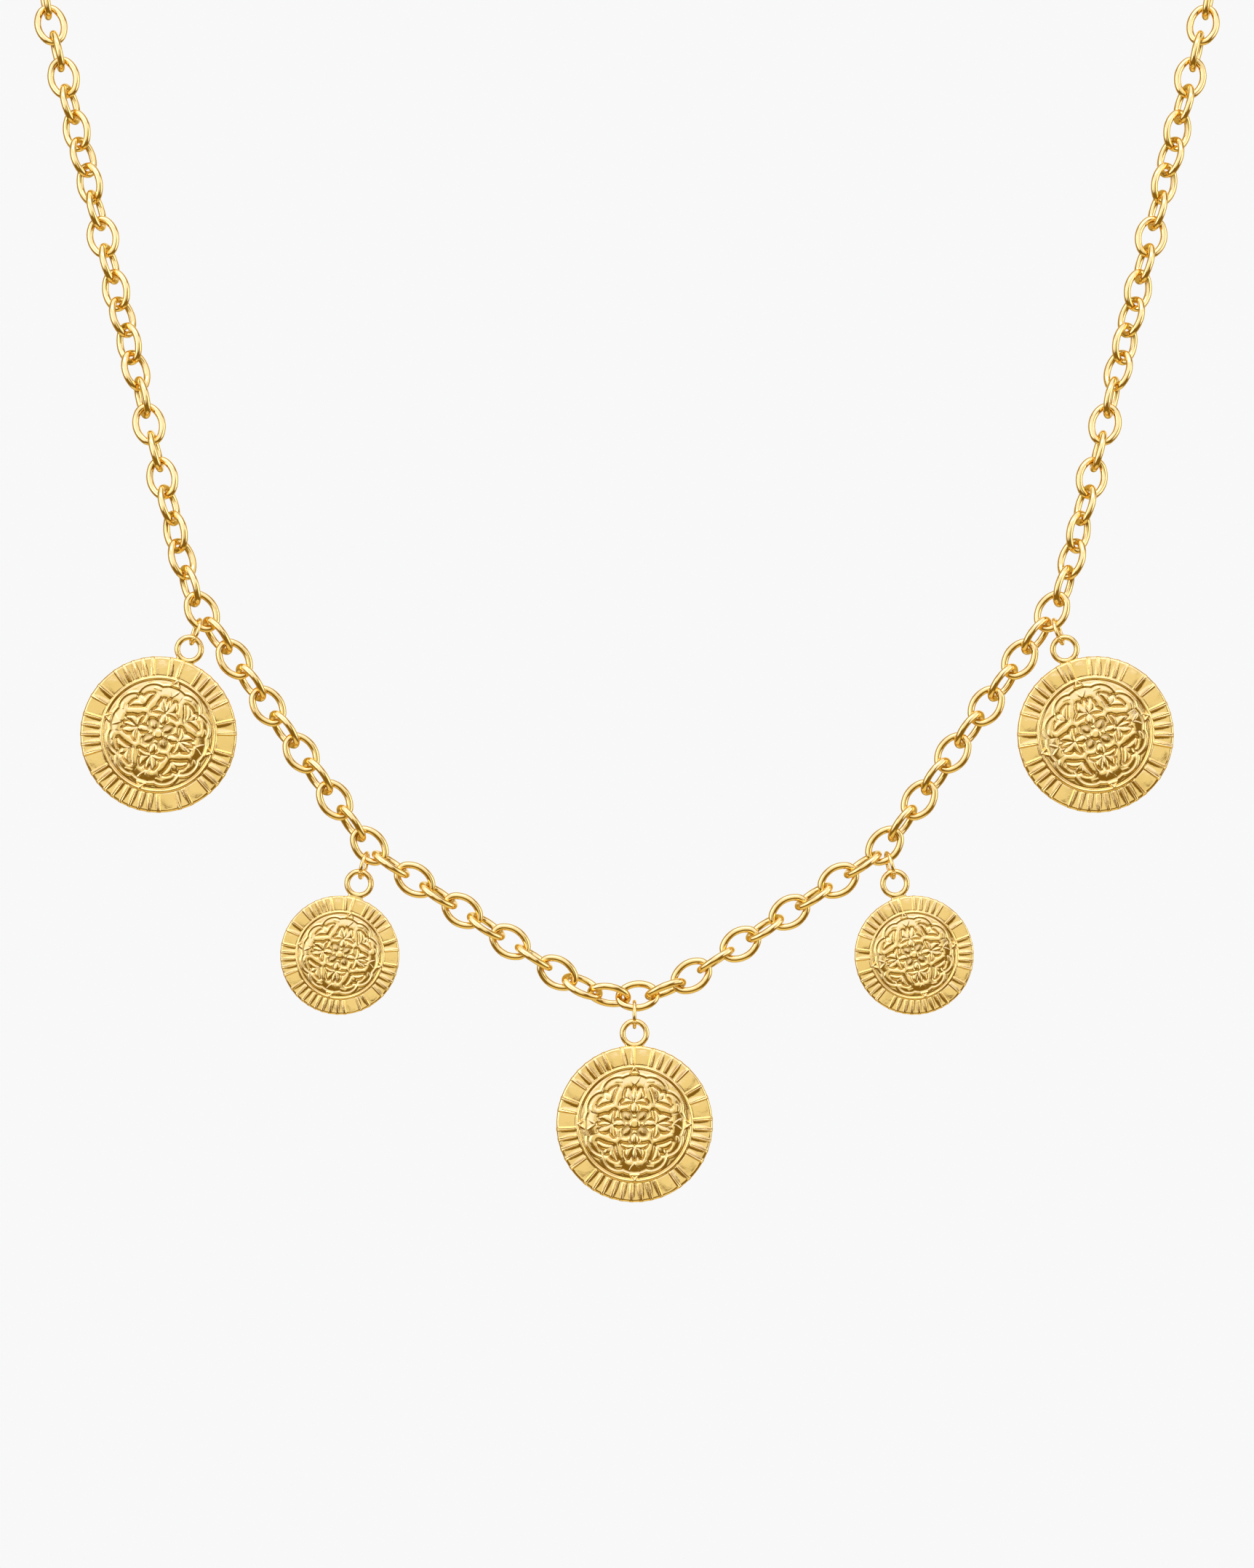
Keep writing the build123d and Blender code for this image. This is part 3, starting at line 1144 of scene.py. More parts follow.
    def heights(self, out: np.ndarray, clock: np.ndarray) -> tuple[np.ndarray, np.ndarray]:
        """Height and painted shade at points of the face.

        Args:
            out: Distance from the centre, as a share of the radius.
            clock: Clockwise angle from the top, in degrees.

        Returns:
            The height in millimetres on the large coin, and the painted shade from 0 to 1.
        """
        field_height, field_painted_shade = self._field(out, clock)
        rim_height, rim_painted_shade = self._rim(out, clock)
        in_field = out < self.ring_middle
        height = np.where(in_field, field_height, rim_height)
        painted_shade = np.where(in_field, field_painted_shade, rim_painted_shade)
        half_ring = (self.ring_outside - self.ring_inside) / 2
        arc = np.sqrt(np.clip(1 - ((out - self.ring_middle) / half_ring) ** 2, 0, None))
        crest = self.rim_height + (self.crest_height - self.rim_height) * arc
        foot_in = self.ring_foot_in.painted_shade(out - self.ring_inside)
        foot_out = self.ring_foot_out.painted_shade(out - self.ring_outside)
        height = np.maximum(height, crest)
        # Painted shade along the feet of the round ring
        painted_shade = np.maximum(painted_shade, foot_in + foot_out)
        point = self._point_distance(out, 90 - clock)
        dish = self.point_dish * soft_step(-point, *self.point_dish_edge)
        body = soft_step(-point, 0, self.point_bevel) - dish
        lifted = self.rim_height + (self.point_height - self.rim_height) * body
        height = np.where(point < 0, np.maximum(height, lifted), height)
        painted_shade = np.maximum(painted_shade * (point > 0), self.point_foot.painted_shade(point))
        return height + self._unevenness(out, clock), np.clip(painted_shade, 0, 1)

    def _unevenness(self, out: np.ndarray, clock: np.ndarray) -> np.ndarray:
        """Slow waves that hand finishing leaves on a cast face.

        Args:
            out: Distance from the centre, as a share of the radius.
            clock: Clockwise angle from the top, in degrees.

        Returns:
            Their height in millimetres on the large coin.
        """
        across = out * np.cos(np.radians(clock))
        up = out * np.sin(np.radians(clock))
        slow = np.sum([wave.height(across, up) for wave in self.slow_waves], axis=0)
        fine = np.prod([wave.height(across, up) for wave in self.fine_waves], axis=0)
        return self.slow_height * slow + self.fine_height * fine

    def _field(self, out: np.ndarray, clock: np.ndarray) -> tuple[np.ndarray, np.ndarray]:
        """Height and painted shade of the domed field with its ornament.

        The ornament stands in sunk pockets, and the ground between them swells like a cushion.

        Args:
            out: Distance from the centre, as a share of the radius.
            clock: Clockwise angle from the top, in degrees.

        Returns:
            The height in millimetres on the large coin, and the painted shade from 0 to 1.
        """
        angle = 90 - clock
        share = np.minimum(out / self.ring_inside, 1)
        top = self.dome_height - self.frame_puff
        fall = (top - self.rim_height) * share**self.dome_fall
        frame_away = np.abs(self._frame_distance(out, angle))
        pocket, lifted, lines = self._ornament(out, angle)
        edges = [frame_away - self.frame_line, self.ring_inside - out]
        cushion = self._cushion(soft_least(edges, self.frame_joint), self.frame_puff_width)
        swell = self._cushion(pocket, self.pocket_puff_width)
        floor = soft_step(-pocket, -self.pocket_lip, self.pocket_wall)
        height = top - fall + self.frame_puff * cushion
        height = height - self.pocket_puff * (1 - swell)
        height = height - self.sink * floor + (self.relief + self.sink) * lifted
        height = height + self.line_height * lines
        height = height + self.frame_height * bell(frame_away, self.frame_line)
        # Painted shade on the pocket floors, cleared where the relief rises
        painted_shade = floor * (1 - soft_step(lifted, self.shade_clear_from, self.shade_clear_at))
        return height, np.maximum(painted_shade, self.frame_foot.painted_shade(frame_away - self.frame_line))

    def _ornament(
        self, out: np.ndarray, angle: np.ndarray
    ) -> tuple[np.ndarray, np.ndarray, np.ndarray]:
        """The boss, the leaves and the thin lines.

        Args:
            out: Distance from the centre, as a share of the radius.
            angle: Angle of each point, in degrees.

        Returns:
            Distance from the edge of the pockets, negative inside them, and how much of the
            relief's height and of the thin lines' height stands at each point.
        """
        edges = [out - self.boss_radius]
        boss = np.clip(1 - (out / self.boss_radius) ** self.boss_flatness, 0, None)
        lifted = self.boss_lift * boss**self.boss_round
        lines = np.zeros(out.shape)
        for leaf in ORNAMENT:
            edge = leaf.distance(out, angle)
            if leaf.relief is Relief.LINE:
                line = 1 - soft_step(edge, -self.line_soft, self.line_soft)
                lines = np.maximum(lines, line)
                continue
            edges.append(edge)
            if leaf.relief is Relief.SUNK:
                body = self.sunk_swell * self._cushion(-edge - self.slope, self.sunk_swell_width)
            else:
                body = self._cushion(-edge, leaf.width / 2) ** self.leaf_round
            lifted = np.maximum(lifted, body * (edge < 0))
        return soft_least(edges, self.joint) - self.margin, lifted, lines

    @staticmethod
    def _cushion(away: np.ndarray, width: float) -> np.ndarray:
        """A rounded rise from 0 at an edge to 1 at the given width away from it."""
        share = np.clip(away / width, 0, 1)
        return share * (2 - share)

    def _point_distance(self, out: np.ndarray, angle: np.ndarray) -> np.ndarray:
        """Distance from the edge of the three-sided points on the axes, negative inside.

        Args:
            out: Distance from the centre, as a share of the radius.
            angle: Angle of each point, in degrees.

        Returns:
            The distance, as a share of the radius.
        """
        way = np.radians(folded(angle))
        along, across = out * np.cos(way), np.abs(out * np.sin(way))
        slope = math.radians(self.point_slope)
        side = (along - self.point_tip) * math.cos(slope) + across * math.sin(slope)
        return np.maximum(self.point_base - along, side)

    def _frame_distance(self, out: np.ndarray, angle: np.ndarray) -> np.ndarray:
        """Distance outward from the lobed line that frames the ornament.

        Eight large lobes meet in cusps on the diagonals, and a small lobe lies on each axis.
        Farther in than the cushion reaches, plain distance from the cusps stands for it.

        Args:
            out: Distance from the centre, as a share of the radius.
            angle: Angle of each point, in degrees.

        Returns:
            The distance, as a share of the radius, negative toward the centre.
        """
        from_axis = np.abs(folded(angle))
        turn = np.radians(from_axis)
        along, across = out * np.cos(turn), out * np.sin(turn)
        meeting = (self.frame_axis_cusp, self.frame_axis_span)
        large = (
            meeting,
            (self.frame_lobe, (self.frame_axis_span + 45) / 2),
            (self.frame_diagonal_cusp, 45.0),
        )
        small = (
            meeting,
            (self.frame_axis_lobe, 0.0),
            (self.frame_axis_cusp, -self.frame_axis_span),
        )
        reach = [
            np.hypot(along - centre[0], across - centre[1]) - radius
            for centre, radius in (self._arc(large), self._arc(small))
        ]
        lobed = np.where(from_axis > self.frame_axis_span, *reach)
        from_cusps = out - self.frame_diagonal_cusp
        return np.where(-from_cusps > self.frame_puff_width + self.frame_line, from_cusps, lobed)

    @staticmethod
    def _arc(places: tuple[tuple[float, float], ...]) -> tuple[np.ndarray, float]:
        """The circle through three places.

        Args:
            places: Distance from the coin's centre and angle in degrees of each place.

        Returns:
            The circle's centre and radius.
        """
        away, turn = np.array(places).T
        turn = np.radians(turn)
        corners = np.stack([away * np.cos(turn), away * np.sin(turn)], axis=1)
        sides = 2 * (corners[1:] - corners[0])
        sums = (corners[1:] ** 2).sum(axis=1) - (corners[0] ** 2).sum()
        centre = np.linalg.solve(sides, sums)
        return centre, float(np.linalg.norm(corners[0] - centre))

    def rib_share(self, out: np.ndarray, clock: np.ndarray) -> np.ndarray:
        """How much of a rib's height stands at each point.

        Args:
            out: Distance from the centre, as a share of the radius.
            clock: Clockwise angle from the top, in degrees.

        Returns:
            The share, from 0 to 1.
        """
        reach = (out - self.rib_inner) / (self.rib_outer - self.rib_inner)
        width = self.rib_inner_width + (self.rib_outer_width - self.rib_inner_width) * reach
        share = np.zeros(out.shape)
        for group in RIB_GROUPS:
            for rib in group.angles():
                aside = out * np.radians(np.abs((clock - rib + 180) % 360 - 180))
                side = soft_step(aside - width / 2, -self.rib_side, self.rib_side)
                share = np.maximum(share, 1 - side)
        return share

    def _rim(self, out: np.ndarray, clock: np.ndarray) -> tuple[np.ndarray, np.ndarray]:
        """Height and painted shade of the ribbed rim.

        Args:
            out: Distance from the centre, as a share of the radius.
            clock: Clockwise angle from the top, in degrees.

        Returns:
            The height in millimetres on the large coin, and the painted shade from 0 to 1.
        """
        ribs = np.sort(np.concatenate([group.angles() for group in RIB_GROUPS]) % 360)
        behind = np.searchsorted(ribs, clock % 360, side="right") - 1
        before, after = ribs[behind], np.roll(ribs, -1)[behind]
        span = (after - before) % 360
        share = ((clock - before) % 360) / span
        middle = 1 - np.abs(2 * share - 1)
        fluted = span < self.flute_span
        flute = np.where(fluted, self.flute_depth * (1 - np.sin(middle * math.pi / 2)), 0)
        rib = self.rib_share(out, clock)
        aside = out * np.radians(np.minimum(share, 1 - share) * span)
        groove = self.rib_groove * bell(aside, self.rib_groove_width)
        before_root, past_root = self.rib_rise
        risen = soft_step(out, self.rib_inner - before_root, self.rib_inner + past_root)
        lip = self.lip_height * soft_step(out, self.lip_start, self.lip_start + self.lip_slope)
        body = np.maximum(np.maximum(self.rib_height * rib, flute) - groove * rib, lip)
        # Painted shade beside the ribs in fluted stretches
        foot = self.rib_foot.painted_shade(aside) * (1 - rib) * fluted
        swell = self.panel_swell * (1 - (2 * share - 1) ** 2) * ~fluted
        past_ring = np.clip((out - self.rib_inner) / (1 - self.rib_inner), 0, 1)
        fall = self.rim_fall * past_ring**self.rim_fall_power * (1 + self.flute_fall * fluted)
        height = self.rim_height - fall + (body + swell) * risen
        return height, np.clip(foot * risen, 0, 1)


class Part(Enum):
    """Part of a coin that a ring of its corners belongs to."""

    FACE = "face"
    FRONT_EDGE = "rounding of the front edge"
    WALL = "wall"
    BACK_EDGE = "rounding of the back edge"
    BACK = "back"


@dataclass(frozen=True)
class Zone:
    """A zone of a coin's mesh.

    Attributes:
        inner: Where it ends toward the centre, as a share of the radius.
        coarseness: How many times fewer segments it has than the rim.
        step: Step between its rings of corners.
    """

    inner: float
    coarseness: int
    step: float


@dataclass(frozen=True)
class Row:
    """A ring of corners of a coin's mesh.

    Attributes:
        share: Its radius, as a share of the coin's.
        corners: Number of its corners.
        part: Part of the coin that it belongs to.
        amount: Turn round an edge in degrees, or height on the wall as a share.
    """

    share: float
    corners: int
    part: Part
    amount: float = 0.0


def outer_reach(edge: float, turn: float) -> float:
    """How far out a rounded edge reaches, as a share, after turning from the flat face."""
    return 1 - edge + edge * math.sin(math.radians(turn))


def ring_faces(counts: list[int]) -> list[tuple[int, ...]]:
    """Faces between rings of corners that lie one round the other.

    Args:
        counts: Corners in each ring. Neighbours are equal, or one is double the other, or a
            single point.

    Returns:
        The faces, wound the same way throughout.
    """
    faces = []
    start = 0
    for inner, outer in zip(counts, counts[1:]):
        after = start + inner
        for k in range(max(inner, outer)):
            if inner == outer:
                beside = (k + 1) % inner
                faces.append((start + k, after + k, after + beside, start + beside))
            elif inner == 1:
                faces.append((start, after + k, after + (k + 1) % outer))
            elif outer == 1:
                faces.append((start + k, after, start + (k + 1) % inner))
            elif outer == 2 * inner and k % 2 == 0:
                low, beside = start + k // 2, start + (k // 2 + 1) % inner
                mid, end = after + k + 1, after + (k + 2) % outer
                faces += [(low, after + k, mid), (low, mid, beside), (beside, mid, end)]
            elif inner == 2 * outer and k % 2 == 0:
                low, beside = after + k // 2, after + (k // 2 + 1) % outer
                mid, end = start + k + 1, start + (k + 2) % inner
                faces += [(start + k, low, mid), (mid, low, beside), (mid, beside, end)]
        start = after
    return faces


@dataclass(frozen=True)
class Medallion:
    """A cast coin medallion with its loop.

    Attributes:
        node: CAD node that it stands for.
        ring_node: CAD node of the jump ring that it hangs from.
        radius: Radius of the coin.
        loop_reach: From the coin's edge to the loop's centre.
        body: Body that it rides on.
        face: The modelled face.
        edge_round: Rounding of the coin's edges, on the large coin.
        edge_notch: How far the edge draws in between ribs, as a share of the radius.
        hollow_depth: How far the back is hollowed inside its rim, on the large coin.
        hollow_edge: Where the hollow starts, as a share of the radius.
        hollow_slope: Width of its sloping side, as a share of the radius.
        hollow_dish: How much deeper it is in its middle, as a share of its depth.
        loop_outer: Outer diameter of the loop.
        loop_wire: Its thickness.
        loop_steps: Steps round the loop, and sides of its section.
        neck_half_width: Half the neck's width where it leaves the coin.
        neck_top_half_width: Half its width at the loop.
        neck_root: How far it is rooted in the coin.
        neck_sink: How far it sinks into the loop, as a share of the loop's thickness.
        neck_thickness: Its thickness.
        neck_square: Power that squares its section.
        neck_sections: Number of its sections.
        neck_sides: Sides of a section.
        segments: Segments round the outer part of the face.
        melt_grid: Face size of the loop's fused skin.
        melt_rounds: Smoothing of that skin.
    """

    node: str
    ring_node: str
    radius: float = 9.0
    loop_reach: float = 1.4
    body: str = ROOT_BODY
    face: CoinFace = CoinFace()
    edge_round: float = 0.3
    edge_notch: float = 0.004
    hollow_depth: float = 0.12
    hollow_edge: float = 0.94
    hollow_slope: float = 0.05
    hollow_dish: float = 0.5
    loop_outer: float = 3.4
    loop_wire: float = 0.66
    loop_steps: tuple[int, int] = (72, 24)
    neck_half_width: float = 1.8
    neck_top_half_width: float = 0.95
    neck_root: float = 0.5
    neck_sink: float = 0.9
    neck_thickness: float = 0.6
    neck_square: float = 0.6
    neck_sections: int = 9
    neck_sides: int = 32
    segments: int = 1280
    melt_grid: float = 0.07
    melt_rounds: int = 3

    # Radius of the coin that the face's heights and the edges' sizes are given for
    LARGE_RADIUS = 9.0

    # Turns in degrees at which the rounded edges have a ring of corners
    FRONT_TURNS = (30, 60, 90)
    BACK_TURNS = (90, 45, 0)

    # Zones of the face, from the edge to the centre
    ZONES = (
        Zone(0.945, 1, 0.0075),
        Zone(0.79, 1, 0.05),
        Zone(0.75, 1, 0.008),
        Zone(0.38, 2, 0.0068),
        Zone(0.19, 4, 0.0068),
        Zone(0.06, 8, 0.007),
        Zone(0.0, 16, 0.0075),
    )

    # Rings of the back: radius as a share, and how many times fewer corners than the rim
    BACK_ROWS = (
        (0.95, 4),
        (0.93, 8),
        (0.915, 8),
        (0.9, 16),
        (0.885, 16),
        (0.87, 16),
        (0.75, 16),
        (0.55, 16),
        (0.35, 16),
        (0.15, 16),
    )

    @classmethod
    def large(cls, side: str) -> "Medallion":
        """The large coin of one side."""
        return cls(f"large_medallion_{side}", f"large_jump_ring_{side}")

    @classmethod
    def small(cls, side: str) -> "Medallion":
        """The small coin of one side.

        Args:
            side: Which side, left or right.

        Returns:
            The coin.
        """
        return cls(
            f"small_medallion_{side}",
            f"small_jump_ring_{side}",
            radius=6.85,
            loop_reach=1.67,
            neck_half_width=1.35,
            neck_top_half_width=0.75,
            segments=960,
        )

    def place(self) -> Place:
        """The coin's place in the frame.

        Returns:
            Its centre on the back, with Z toward the viewer and Y up to its loop.
        """
        low, high = (np.array(corner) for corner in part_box(self.node))
        ring_low, ring_high = (np.array(corner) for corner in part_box(self.ring_node))
        radius = self.radius * MM
        centre = np.array([(low[0] + high[0]) / 2, high[1], low[2] + radius])
        up = (ring_low + ring_high) / 2 - centre
        up[1] = 0
        up /= np.linalg.norm(up)
        toward = np.array([0, -1, 0])
        return Place(centre, np.array([np.cross(up, toward), up, toward]))

    def _size(self) -> float:
        """Size of this coin beside the large one."""
        return self.radius / self.LARGE_RADIUS

    def _rows(self) -> list[Row]:
        """Plans the coin's rings of corners.

        Returns:
            The rings from the centre of the face over the edge to the middle of the back.
        """
        edge = self.edge_round / self.LARGE_RADIUS
        rows = []
        outer = 1 - edge
        for zone in self.ZONES:
            count = round((outer - zone.inner) / zone.step)
            shares = np.linspace(outer, zone.inner, count, endpoint=False)
            corners = self.segments // zone.coarseness
            rows += [Row(share, corners, Part.FACE) for share in shares]
            outer = zone.inner
        rows.reverse()
        for turn in self.FRONT_TURNS:
            rows.append(Row(outer_reach(edge, turn), self.segments, Part.FRONT_EDGE, turn))
        rows.append(Row(1.0, self.segments, Part.WALL, 0.5))
        for turn in self.BACK_TURNS:
            rows.append(Row(outer_reach(edge, turn), self.segments // 2, Part.BACK_EDGE, turn))
        for share, coarseness in self.BACK_ROWS:
            rows.append(Row(share, self.segments // coarseness, Part.BACK))
        return rows

    def _ring(self, row: Row) -> tuple[np.ndarray, np.ndarray]:
        """Corners of one ring of the coin.

        Args:
            row: The ring.

        Returns:
            The corners in local millimetres, and their painted shade.
        """
        edge = self.edge_round
        clock = np.linspace(0, 360, row.corners, endpoint=False)
        out = np.full(row.corners, row.share)
        rim_out = np.minimum(out, 1 - edge / self.LARGE_RADIUS)
        top, painted_shade = self.face.heights(rim_out, clock)
        if row.part is not Part.FACE:
            painted_shade = np.zeros(row.corners)
        if row.part not in (Part.FACE, Part.BACK):
            rib = self.face.rib_share(np.full(row.corners, self.face.rib_outer), clock)
            out = out - self.edge_notch * (1 - rib)
        round_off = edge * (1 - math.cos(math.radians(row.amount)))
        height = {
            Part.FACE: top,
            Part.FRONT_EDGE: top - round_off,
            Part.WALL: (top - edge) * row.amount + edge * (1 - row.amount),
            Part.BACK_EDGE: np.full(row.corners, round_off),
            Part.BACK: self._back_hollow(out),
        }[row.part]
        way = np.radians(clock)
        across = out * self.radius * np.sin(way)
        up = out * self.radius * np.cos(way)
        return np.stack([across, up, height * self._size()], axis=1), painted_shade

    def coin_shell(self) -> Shell:
        """The coin without its loop.

        Returns:
            The closed coin in local millimetres, facing +Z with its back at Z 0.
        """
        rows = self._rows()
        middle = np.zeros(1)
        top = float(self.face.heights(middle, middle)[0][0]) * self._size()
        bottom = float(self._back_hollow(middle)[0]) * self._size()
        rings = [self._ring(row) for row in rows]
        points = [np.array([[0, 0, top]]), *(ring[0] for ring in rings), [[0, 0, bottom]]]
        painted_shades = [middle, *(ring[1] for ring in rings), middle]
        faces = ring_faces([1, *(row.corners for row in rows), 1])
        return Shell(np.concatenate(points), faces, np.concatenate(painted_shades))

    def _back_hollow(self, out: np.ndarray) -> np.ndarray:
        """How far the back is hollowed inside its own narrow rim, on the large coin."""
        hollow = 1 - soft_step(out, self.hollow_edge - self.hollow_slope, self.hollow_edge)
        return self.hollow_depth * hollow * (1 + self.hollow_dish * (1 - out**2))

    def loop_shell(self) -> Shell:
        """The loop and the neck that it grows from.

        Returns:
            Both as one cast skin in the coin's local millimetres.
        """
        centre = self.radius + self.loop_reach
        middle = self.face.rim_height * self._size() / 2
        loop_radius = (self.loop_outer - self.loop_wire) / 2
        loop = ring_tube(loop_radius, self.loop_wire, *self.loop_steps)
        loop.points += (0, centre, middle)
        low = self.radius - self.neck_root
        high = centre - self.loop_outer / 2 + self.loop_wire * self.neck_sink
        around = np.linspace(0, 2 * math.pi, self.neck_sides, endpoint=False)
        square = np.maximum(np.abs(np.cos(around)), np.abs(np.sin(around))) ** self.neck_square
        across, toward = np.cos(around) / square, np.sin(around) / square
        sections = []
        for share in np.linspace(0, 1, self.neck_sections):
            widening = (self.neck_half_width - self.neck_top_half_width) * (1 - share) ** 2
            half_width = self.neck_top_half_width + widening
            up = np.full(self.neck_sides, low + (high - low) * share)
            depth = middle + self.neck_thickness / 2 * toward
            sections.append(np.stack([half_width * across, up, depth], axis=1))
        first, last = (sections[end].mean(axis=0)[None] for end in (0, -1))
        points = np.concatenate([first, *sections, last])
        faces = ring_faces([1, *[self.neck_sides] * self.neck_sections, 1])
        neck = Shell(points, faces, np.zeros(len(points)))
        return fused([loop, neck], self.melt_grid, self.melt_rounds)

    def build(self) -> None:
        """Builds the medallion where the frame has it."""
        shell = Shell.joined([self.coin_shell(), self.loop_shell()])
        name = self.node.replace("medallion", "coin")
        placed = self.place().put(shell)
        add_piece(name, placed, COIN_FINISH, self.body, self.node)


@dataclass(frozen=True)
class SoftBox:
    """A soft light panel.

    Attributes:
        name: Its name.
        place: Where it stands, from the middle of the necklace's front, in metres.
        size: Its width and height in metres.
        power: Its power in watts.
    """

    name: str
    place: tuple[float, float, float]
    size: tuple[float, float]
    power: float

    def build(self, target: np.ndarray) -> None:
        """Sets the panel up, turned toward the necklace.

        Args:
            target: Middle of the necklace's front, in metres.
        """
        light = bpy.data.lights.new(self.name, "AREA")
        light.shape = "RECTANGLE"
        light.size, light.size_y = self.size
        light.energy = self.power
        lamp = bpy.data.objects.new(self.name, light)
        place = np.array(self.place)
        lamp.location = target + place
        lamp.rotation_mode = "QUATERNION"
        lamp.rotation_quaternion = Vector(-place).to_track_quat("-Z", "Y")
        bpy.context.scene.collection.objects.link(lamp)


@dataclass(frozen=True)
class Glow:
    """A soft-edged patch of the studio that the metal mirrors.

    Attributes:
        name: What glows.
        toward: Direction in which it lies.
        inner: Angle from its middle at which it starts to fade, in degrees.
        outer: Angle at which it has gone.
        color: Its colour and brightness.
    """

    name: str
    toward: tuple[float, float, float]
    inner: float
    outer: float
    color: tuple[float, float, float, float]


@dataclass(frozen=True)
class Studio:
    """A pale studio with soft light, and the camera at the photograph's view.

    Attributes:
        photo_width: The photograph's width in pixels.
        photo_height: Its height in pixels.
        pixel: Size of a pixel in the plane of the drops, in metres.
        front_plane: Where that plane lies along Y.
        view_height: Height of the photograph's middle.
        distance: From the camera to that plane.
        sensor: Sensor size along the photograph's long side, in millimetres.
        clip: Nearest and farthest distance that the camera sees.
        backdrop: Brightness of the backdrop.
        floor_drop: From the photograph's middle down to the floor.
        floor_half: Half the floor's width.
        floor_tone: Brightness of its paint.
        floor_roughness: Roughness of its paint.
        room: Colour of the dim, warm room where nothing else glows.
        glows: Patches that the metal mirrors, each over the ones before it.
        boxes: The light panels.
    """

    photo_width: int = 1724
    photo_height: int = 2156
    pixel: float = 0.0000835
    front_plane: float = -0.092
    view_height: float = -0.125
    distance: float = 1.2
    sensor: float = 36.0
    clip: tuple[float, float] = (0.05, 50)
    backdrop: float = 0.939
    floor_drop: float = 0.9
    floor_half: float = 4.0
    floor_tone: float = 0.9
    floor_roughness: float = 0.8
    room: tuple[float, float, float, float] = (0.23, 0.14, 0.03, 1)
    glows: tuple[Glow, ...] = (
        Glow("far wall", (0, 1, 0), 70, 84, (0.54, 0.39, 0.13, 1)),
        Glow("far window", (0.2, 1, 0.25), 8, 40, (1.0, 0.95, 0.9, 1)),
        Glow("far corner", (-0.35, 0.8, -0.6), 12, 36, (0.36, 0.24, 0.07, 1)),
        Glow("front screen", (-0.02, -1, 0.13), 13, 27, (0.9, 0.88, 0.92, 1)),
        Glow("left window", (-0.87, -0.62, 0.3), 30, 38, (1.15, 1.22, 1.95, 1)),
        Glow("right window", (0.95, -0.3, 0.15), 27, 35, (1.05, 1.12, 1.6, 1)),
        Glow("skylight", (-0.05, -0.6, 1), 41, 52, (1.12, 1.2, 2.1, 1)),
        Glow("table", (0, 0.1, -1), 34, 44, (0.85, 0.72, 0.45, 1)),
    )
    boxes: tuple[SoftBox, ...] = (
        SoftBox("overhead panel", (-0.1, -0.6, 1.1), (1.0, 0.3), 2.8),
        SoftBox("left panel", (-1.1, -0.8, 0.3), (0.2, 0.9), 1.7),
        SoftBox("right panel", (1.3, -0.4, 0.2), (0.14, 0.9), 1.2),
    )

    def build(self) -> None:
        """Sets up the camera, the light, the backdrop and the floor."""
        target = np.array([0, self.front_plane, self.view_height])
        self._camera(target)
        self._world()
        for box in self.boxes:
            box.build(target)
        self._floor(target)
        bpy.context.scene.view_settings.view_transform = "Standard"

    def _camera(self, target: np.ndarray) -> None:
        """Puts the camera level with the photograph's middle, looking along +Y.

        Args:
            target: Middle of the photograph in the plane of the drops.
        """
        data = bpy.data.cameras.new("photo camera")
        data.sensor_fit = "AUTO"
        data.sensor_width = self.sensor
        seen = max(self.photo_width, self.photo_height) * self.pixel
        data.lens = self.sensor * self.distance / seen
        data.clip_start, data.clip_end = self.clip
        camera = bpy.data.objects.new("photo camera", data)
        camera.location = target - np.array([0, self.distance, 0])
        camera.rotation_euler = (math.pi / 2, 0, 0)
        bpy.context.scene.collection.objects.link(camera)
        bpy.context.scene.camera = camera

    def _world(self) -> None:
        """Makes the pale backdrop, and the room that only the metal's mirrored rays see."""
        world = bpy.data.worlds.new("pale studio")
        world.use_nodes = True
        bpy.context.scene.world = world
        nodes, links = world.node_tree.nodes, world.node_tree.links
        nodes.clear()
        room = nodes.new("ShaderNodeBackground")
        links.new(self._mirrored_room(world.node_tree), room.inputs["Color"])
        pale = nodes.new("ShaderNodeBackground")
        pale.inputs["Color"].default_value = (self.backdrop, self.backdrop, self.backdrop, 1)
        ray = nodes.new("ShaderNodeLightPath")
        either = nodes.new("ShaderNodeMixShader")
        links.new(ray.outputs["Is Glossy Ray"], either.inputs["Fac"])
        links.new(pale.outputs["Background"], either.inputs[1])
        links.new(room.outputs["Background"], either.inputs[2])
        result = nodes.new("ShaderNodeOutputWorld")
        links.new(either.outputs["Shader"], result.inputs["Surface"])

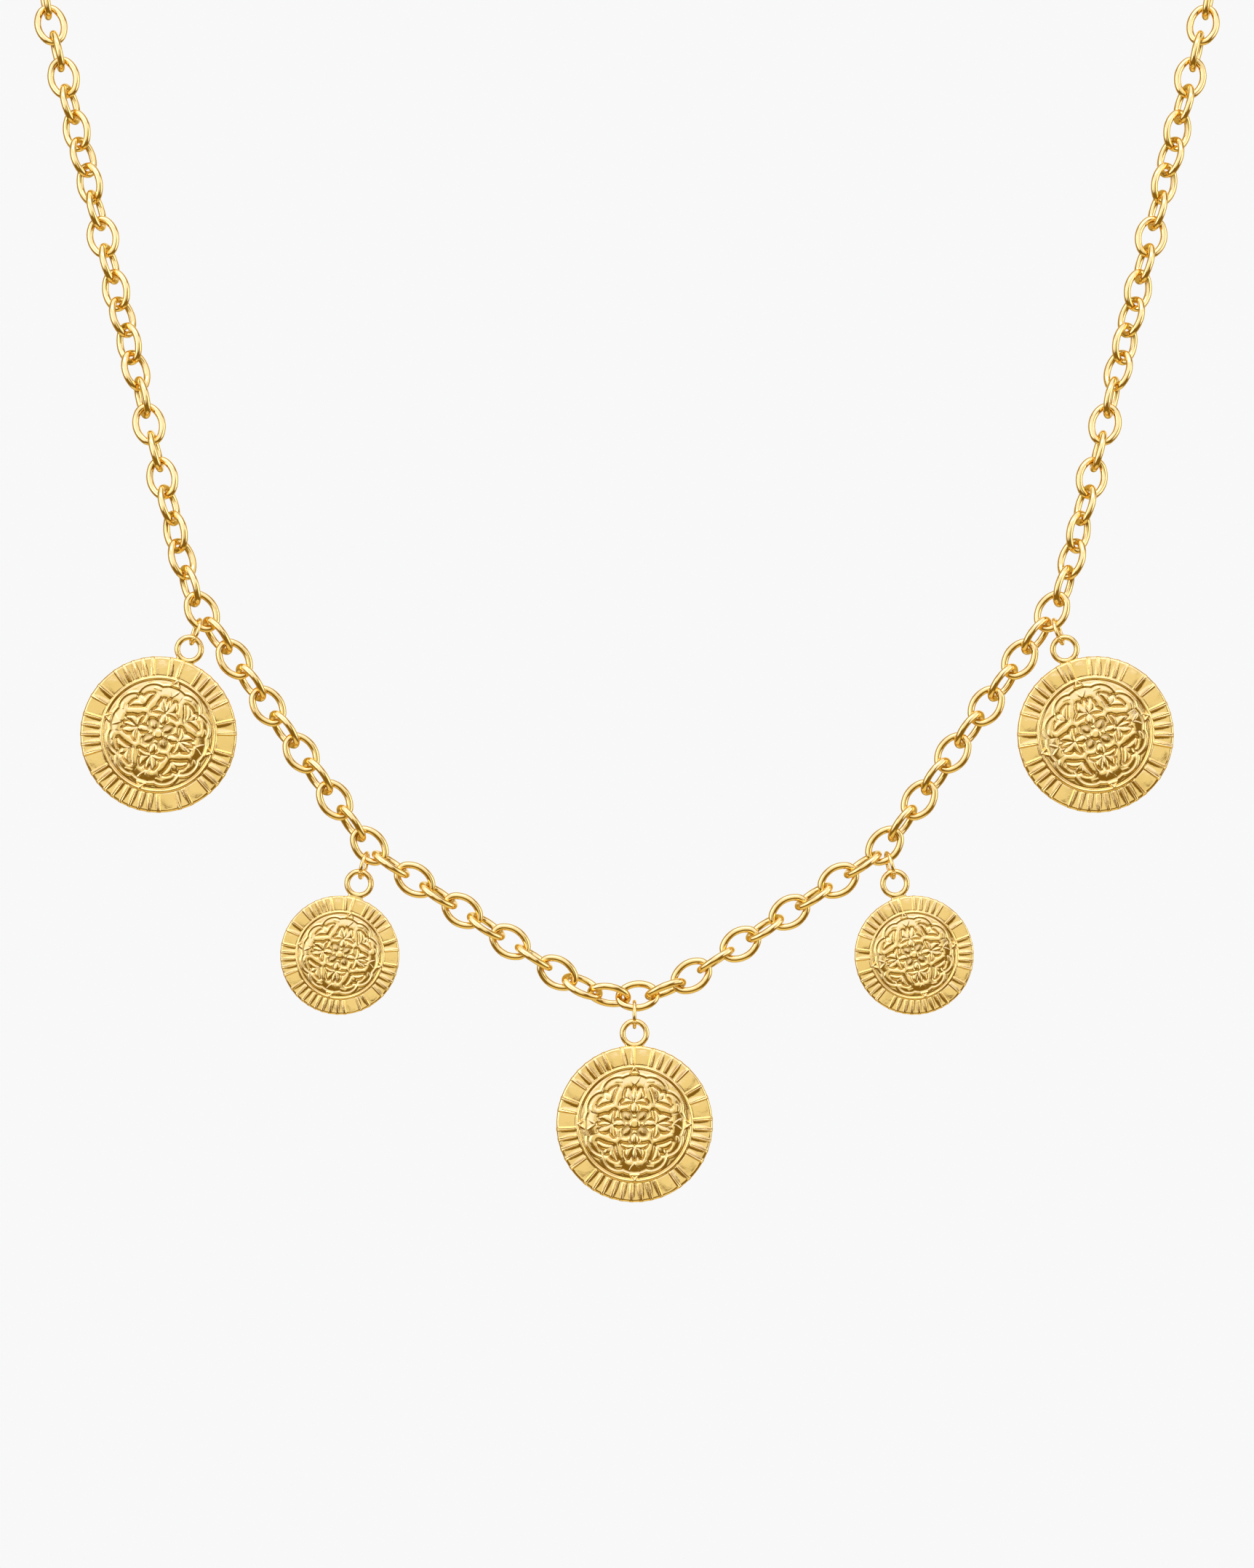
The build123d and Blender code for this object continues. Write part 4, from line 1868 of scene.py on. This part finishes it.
    def _mirrored_room(self, tree: bpy.types.NodeTree) -> bpy.types.NodeSocket:
        """Lays the glows over the dim room by direction.

        Args:
            tree: The world's node tree.

        Returns:
            The socket that gives the room's colour.
        """
        nodes, links = tree.nodes, tree.links
        place = nodes.new("ShaderNodeTexCoord")
        level: bpy.types.NodeSocket | None = None
        for glow in self.glows:
            facing = nodes.new("ShaderNodeVectorMath")
            facing.label = glow.name
            facing.operation = "DOT_PRODUCT"
            facing.inputs[1].default_value = np.array(glow.toward) / np.linalg.norm(glow.toward)
            links.new(place.outputs["Generated"], facing.inputs[0])
            fade = nodes.new("ShaderNodeMapRange")
            fade.interpolation_type = "SMOOTHSTEP"
            fade.inputs["From Min"].default_value = math.cos(math.radians(glow.outer))
            fade.inputs["From Max"].default_value = math.cos(math.radians(glow.inner))
            links.new(facing.outputs["Value"], fade.inputs["Value"])
            mixed = nodes.new("ShaderNodeMix")
            mixed.data_type = "RGBA"
            mixed.inputs[MIX_SECOND].default_value = glow.color
            if level is None:
                mixed.inputs[MIX_FIRST].default_value = self.room
            else:
                links.new(level, mixed.inputs[MIX_FIRST])
            links.new(fade.outputs["Result"], mixed.inputs["Factor"])
            level = mixed.outputs[MIX_RESULT]
        return level

    def _floor(self, target: np.ndarray) -> None:
        """Lays a pale matt floor, far enough down to stay out of the photograph's view.

        Args:
            target: Middle of the photograph in the plane of the drops.
        """
        half = self.floor_half
        height = target[2] - self.floor_drop
        mesh = bpy.data.meshes.new("floor")
        flat = ((-half, -half), (half, -half), (half, half), (-half, half))
        mesh.from_pydata([(*corner, height) for corner in flat], [], [(0, 1, 2, 3)])
        floor = bpy.data.objects.new("floor", mesh)
        bpy.context.scene.collection.objects.link(floor)
        paint = bpy.data.materials.new("pale floor")
        paint.use_nodes = True
        shader = paint.node_tree.nodes["Principled BSDF"]
        tone = self.floor_tone
        shader.inputs["Base Color"].default_value = (tone, tone, tone, 1)
        shader.inputs["Roughness"].default_value = self.floor_roughness
        mesh.materials.append(paint)
        floor.visible_glossy = False


def main() -> None:
    """Builds the studio and every piece of the necklace."""
    logging.basicConfig(level=logging.INFO, format="%(name)s: %(message)s")
    Studio().build()
    gold_tone_and_shade_group()
    handled_polish_group()
    cast_skin_group()
    for side in ("left", "right"):
        ChainHalf(side).build()
    Clasp().build()
    JumpRing("centre_jump_ring", body="centre_ring").build()
    Medallion("centre_medallion", "centre_jump_ring", body="centre_drop").build()
    for side in ("left", "right"):
        JumpRing(f"large_jump_ring_{side}").build()
        Medallion.large(side).build()
        JumpRing(f"small_jump_ring_{side}").build()
        Medallion.small(side).build()


if __name__ == "__main__":
    main()
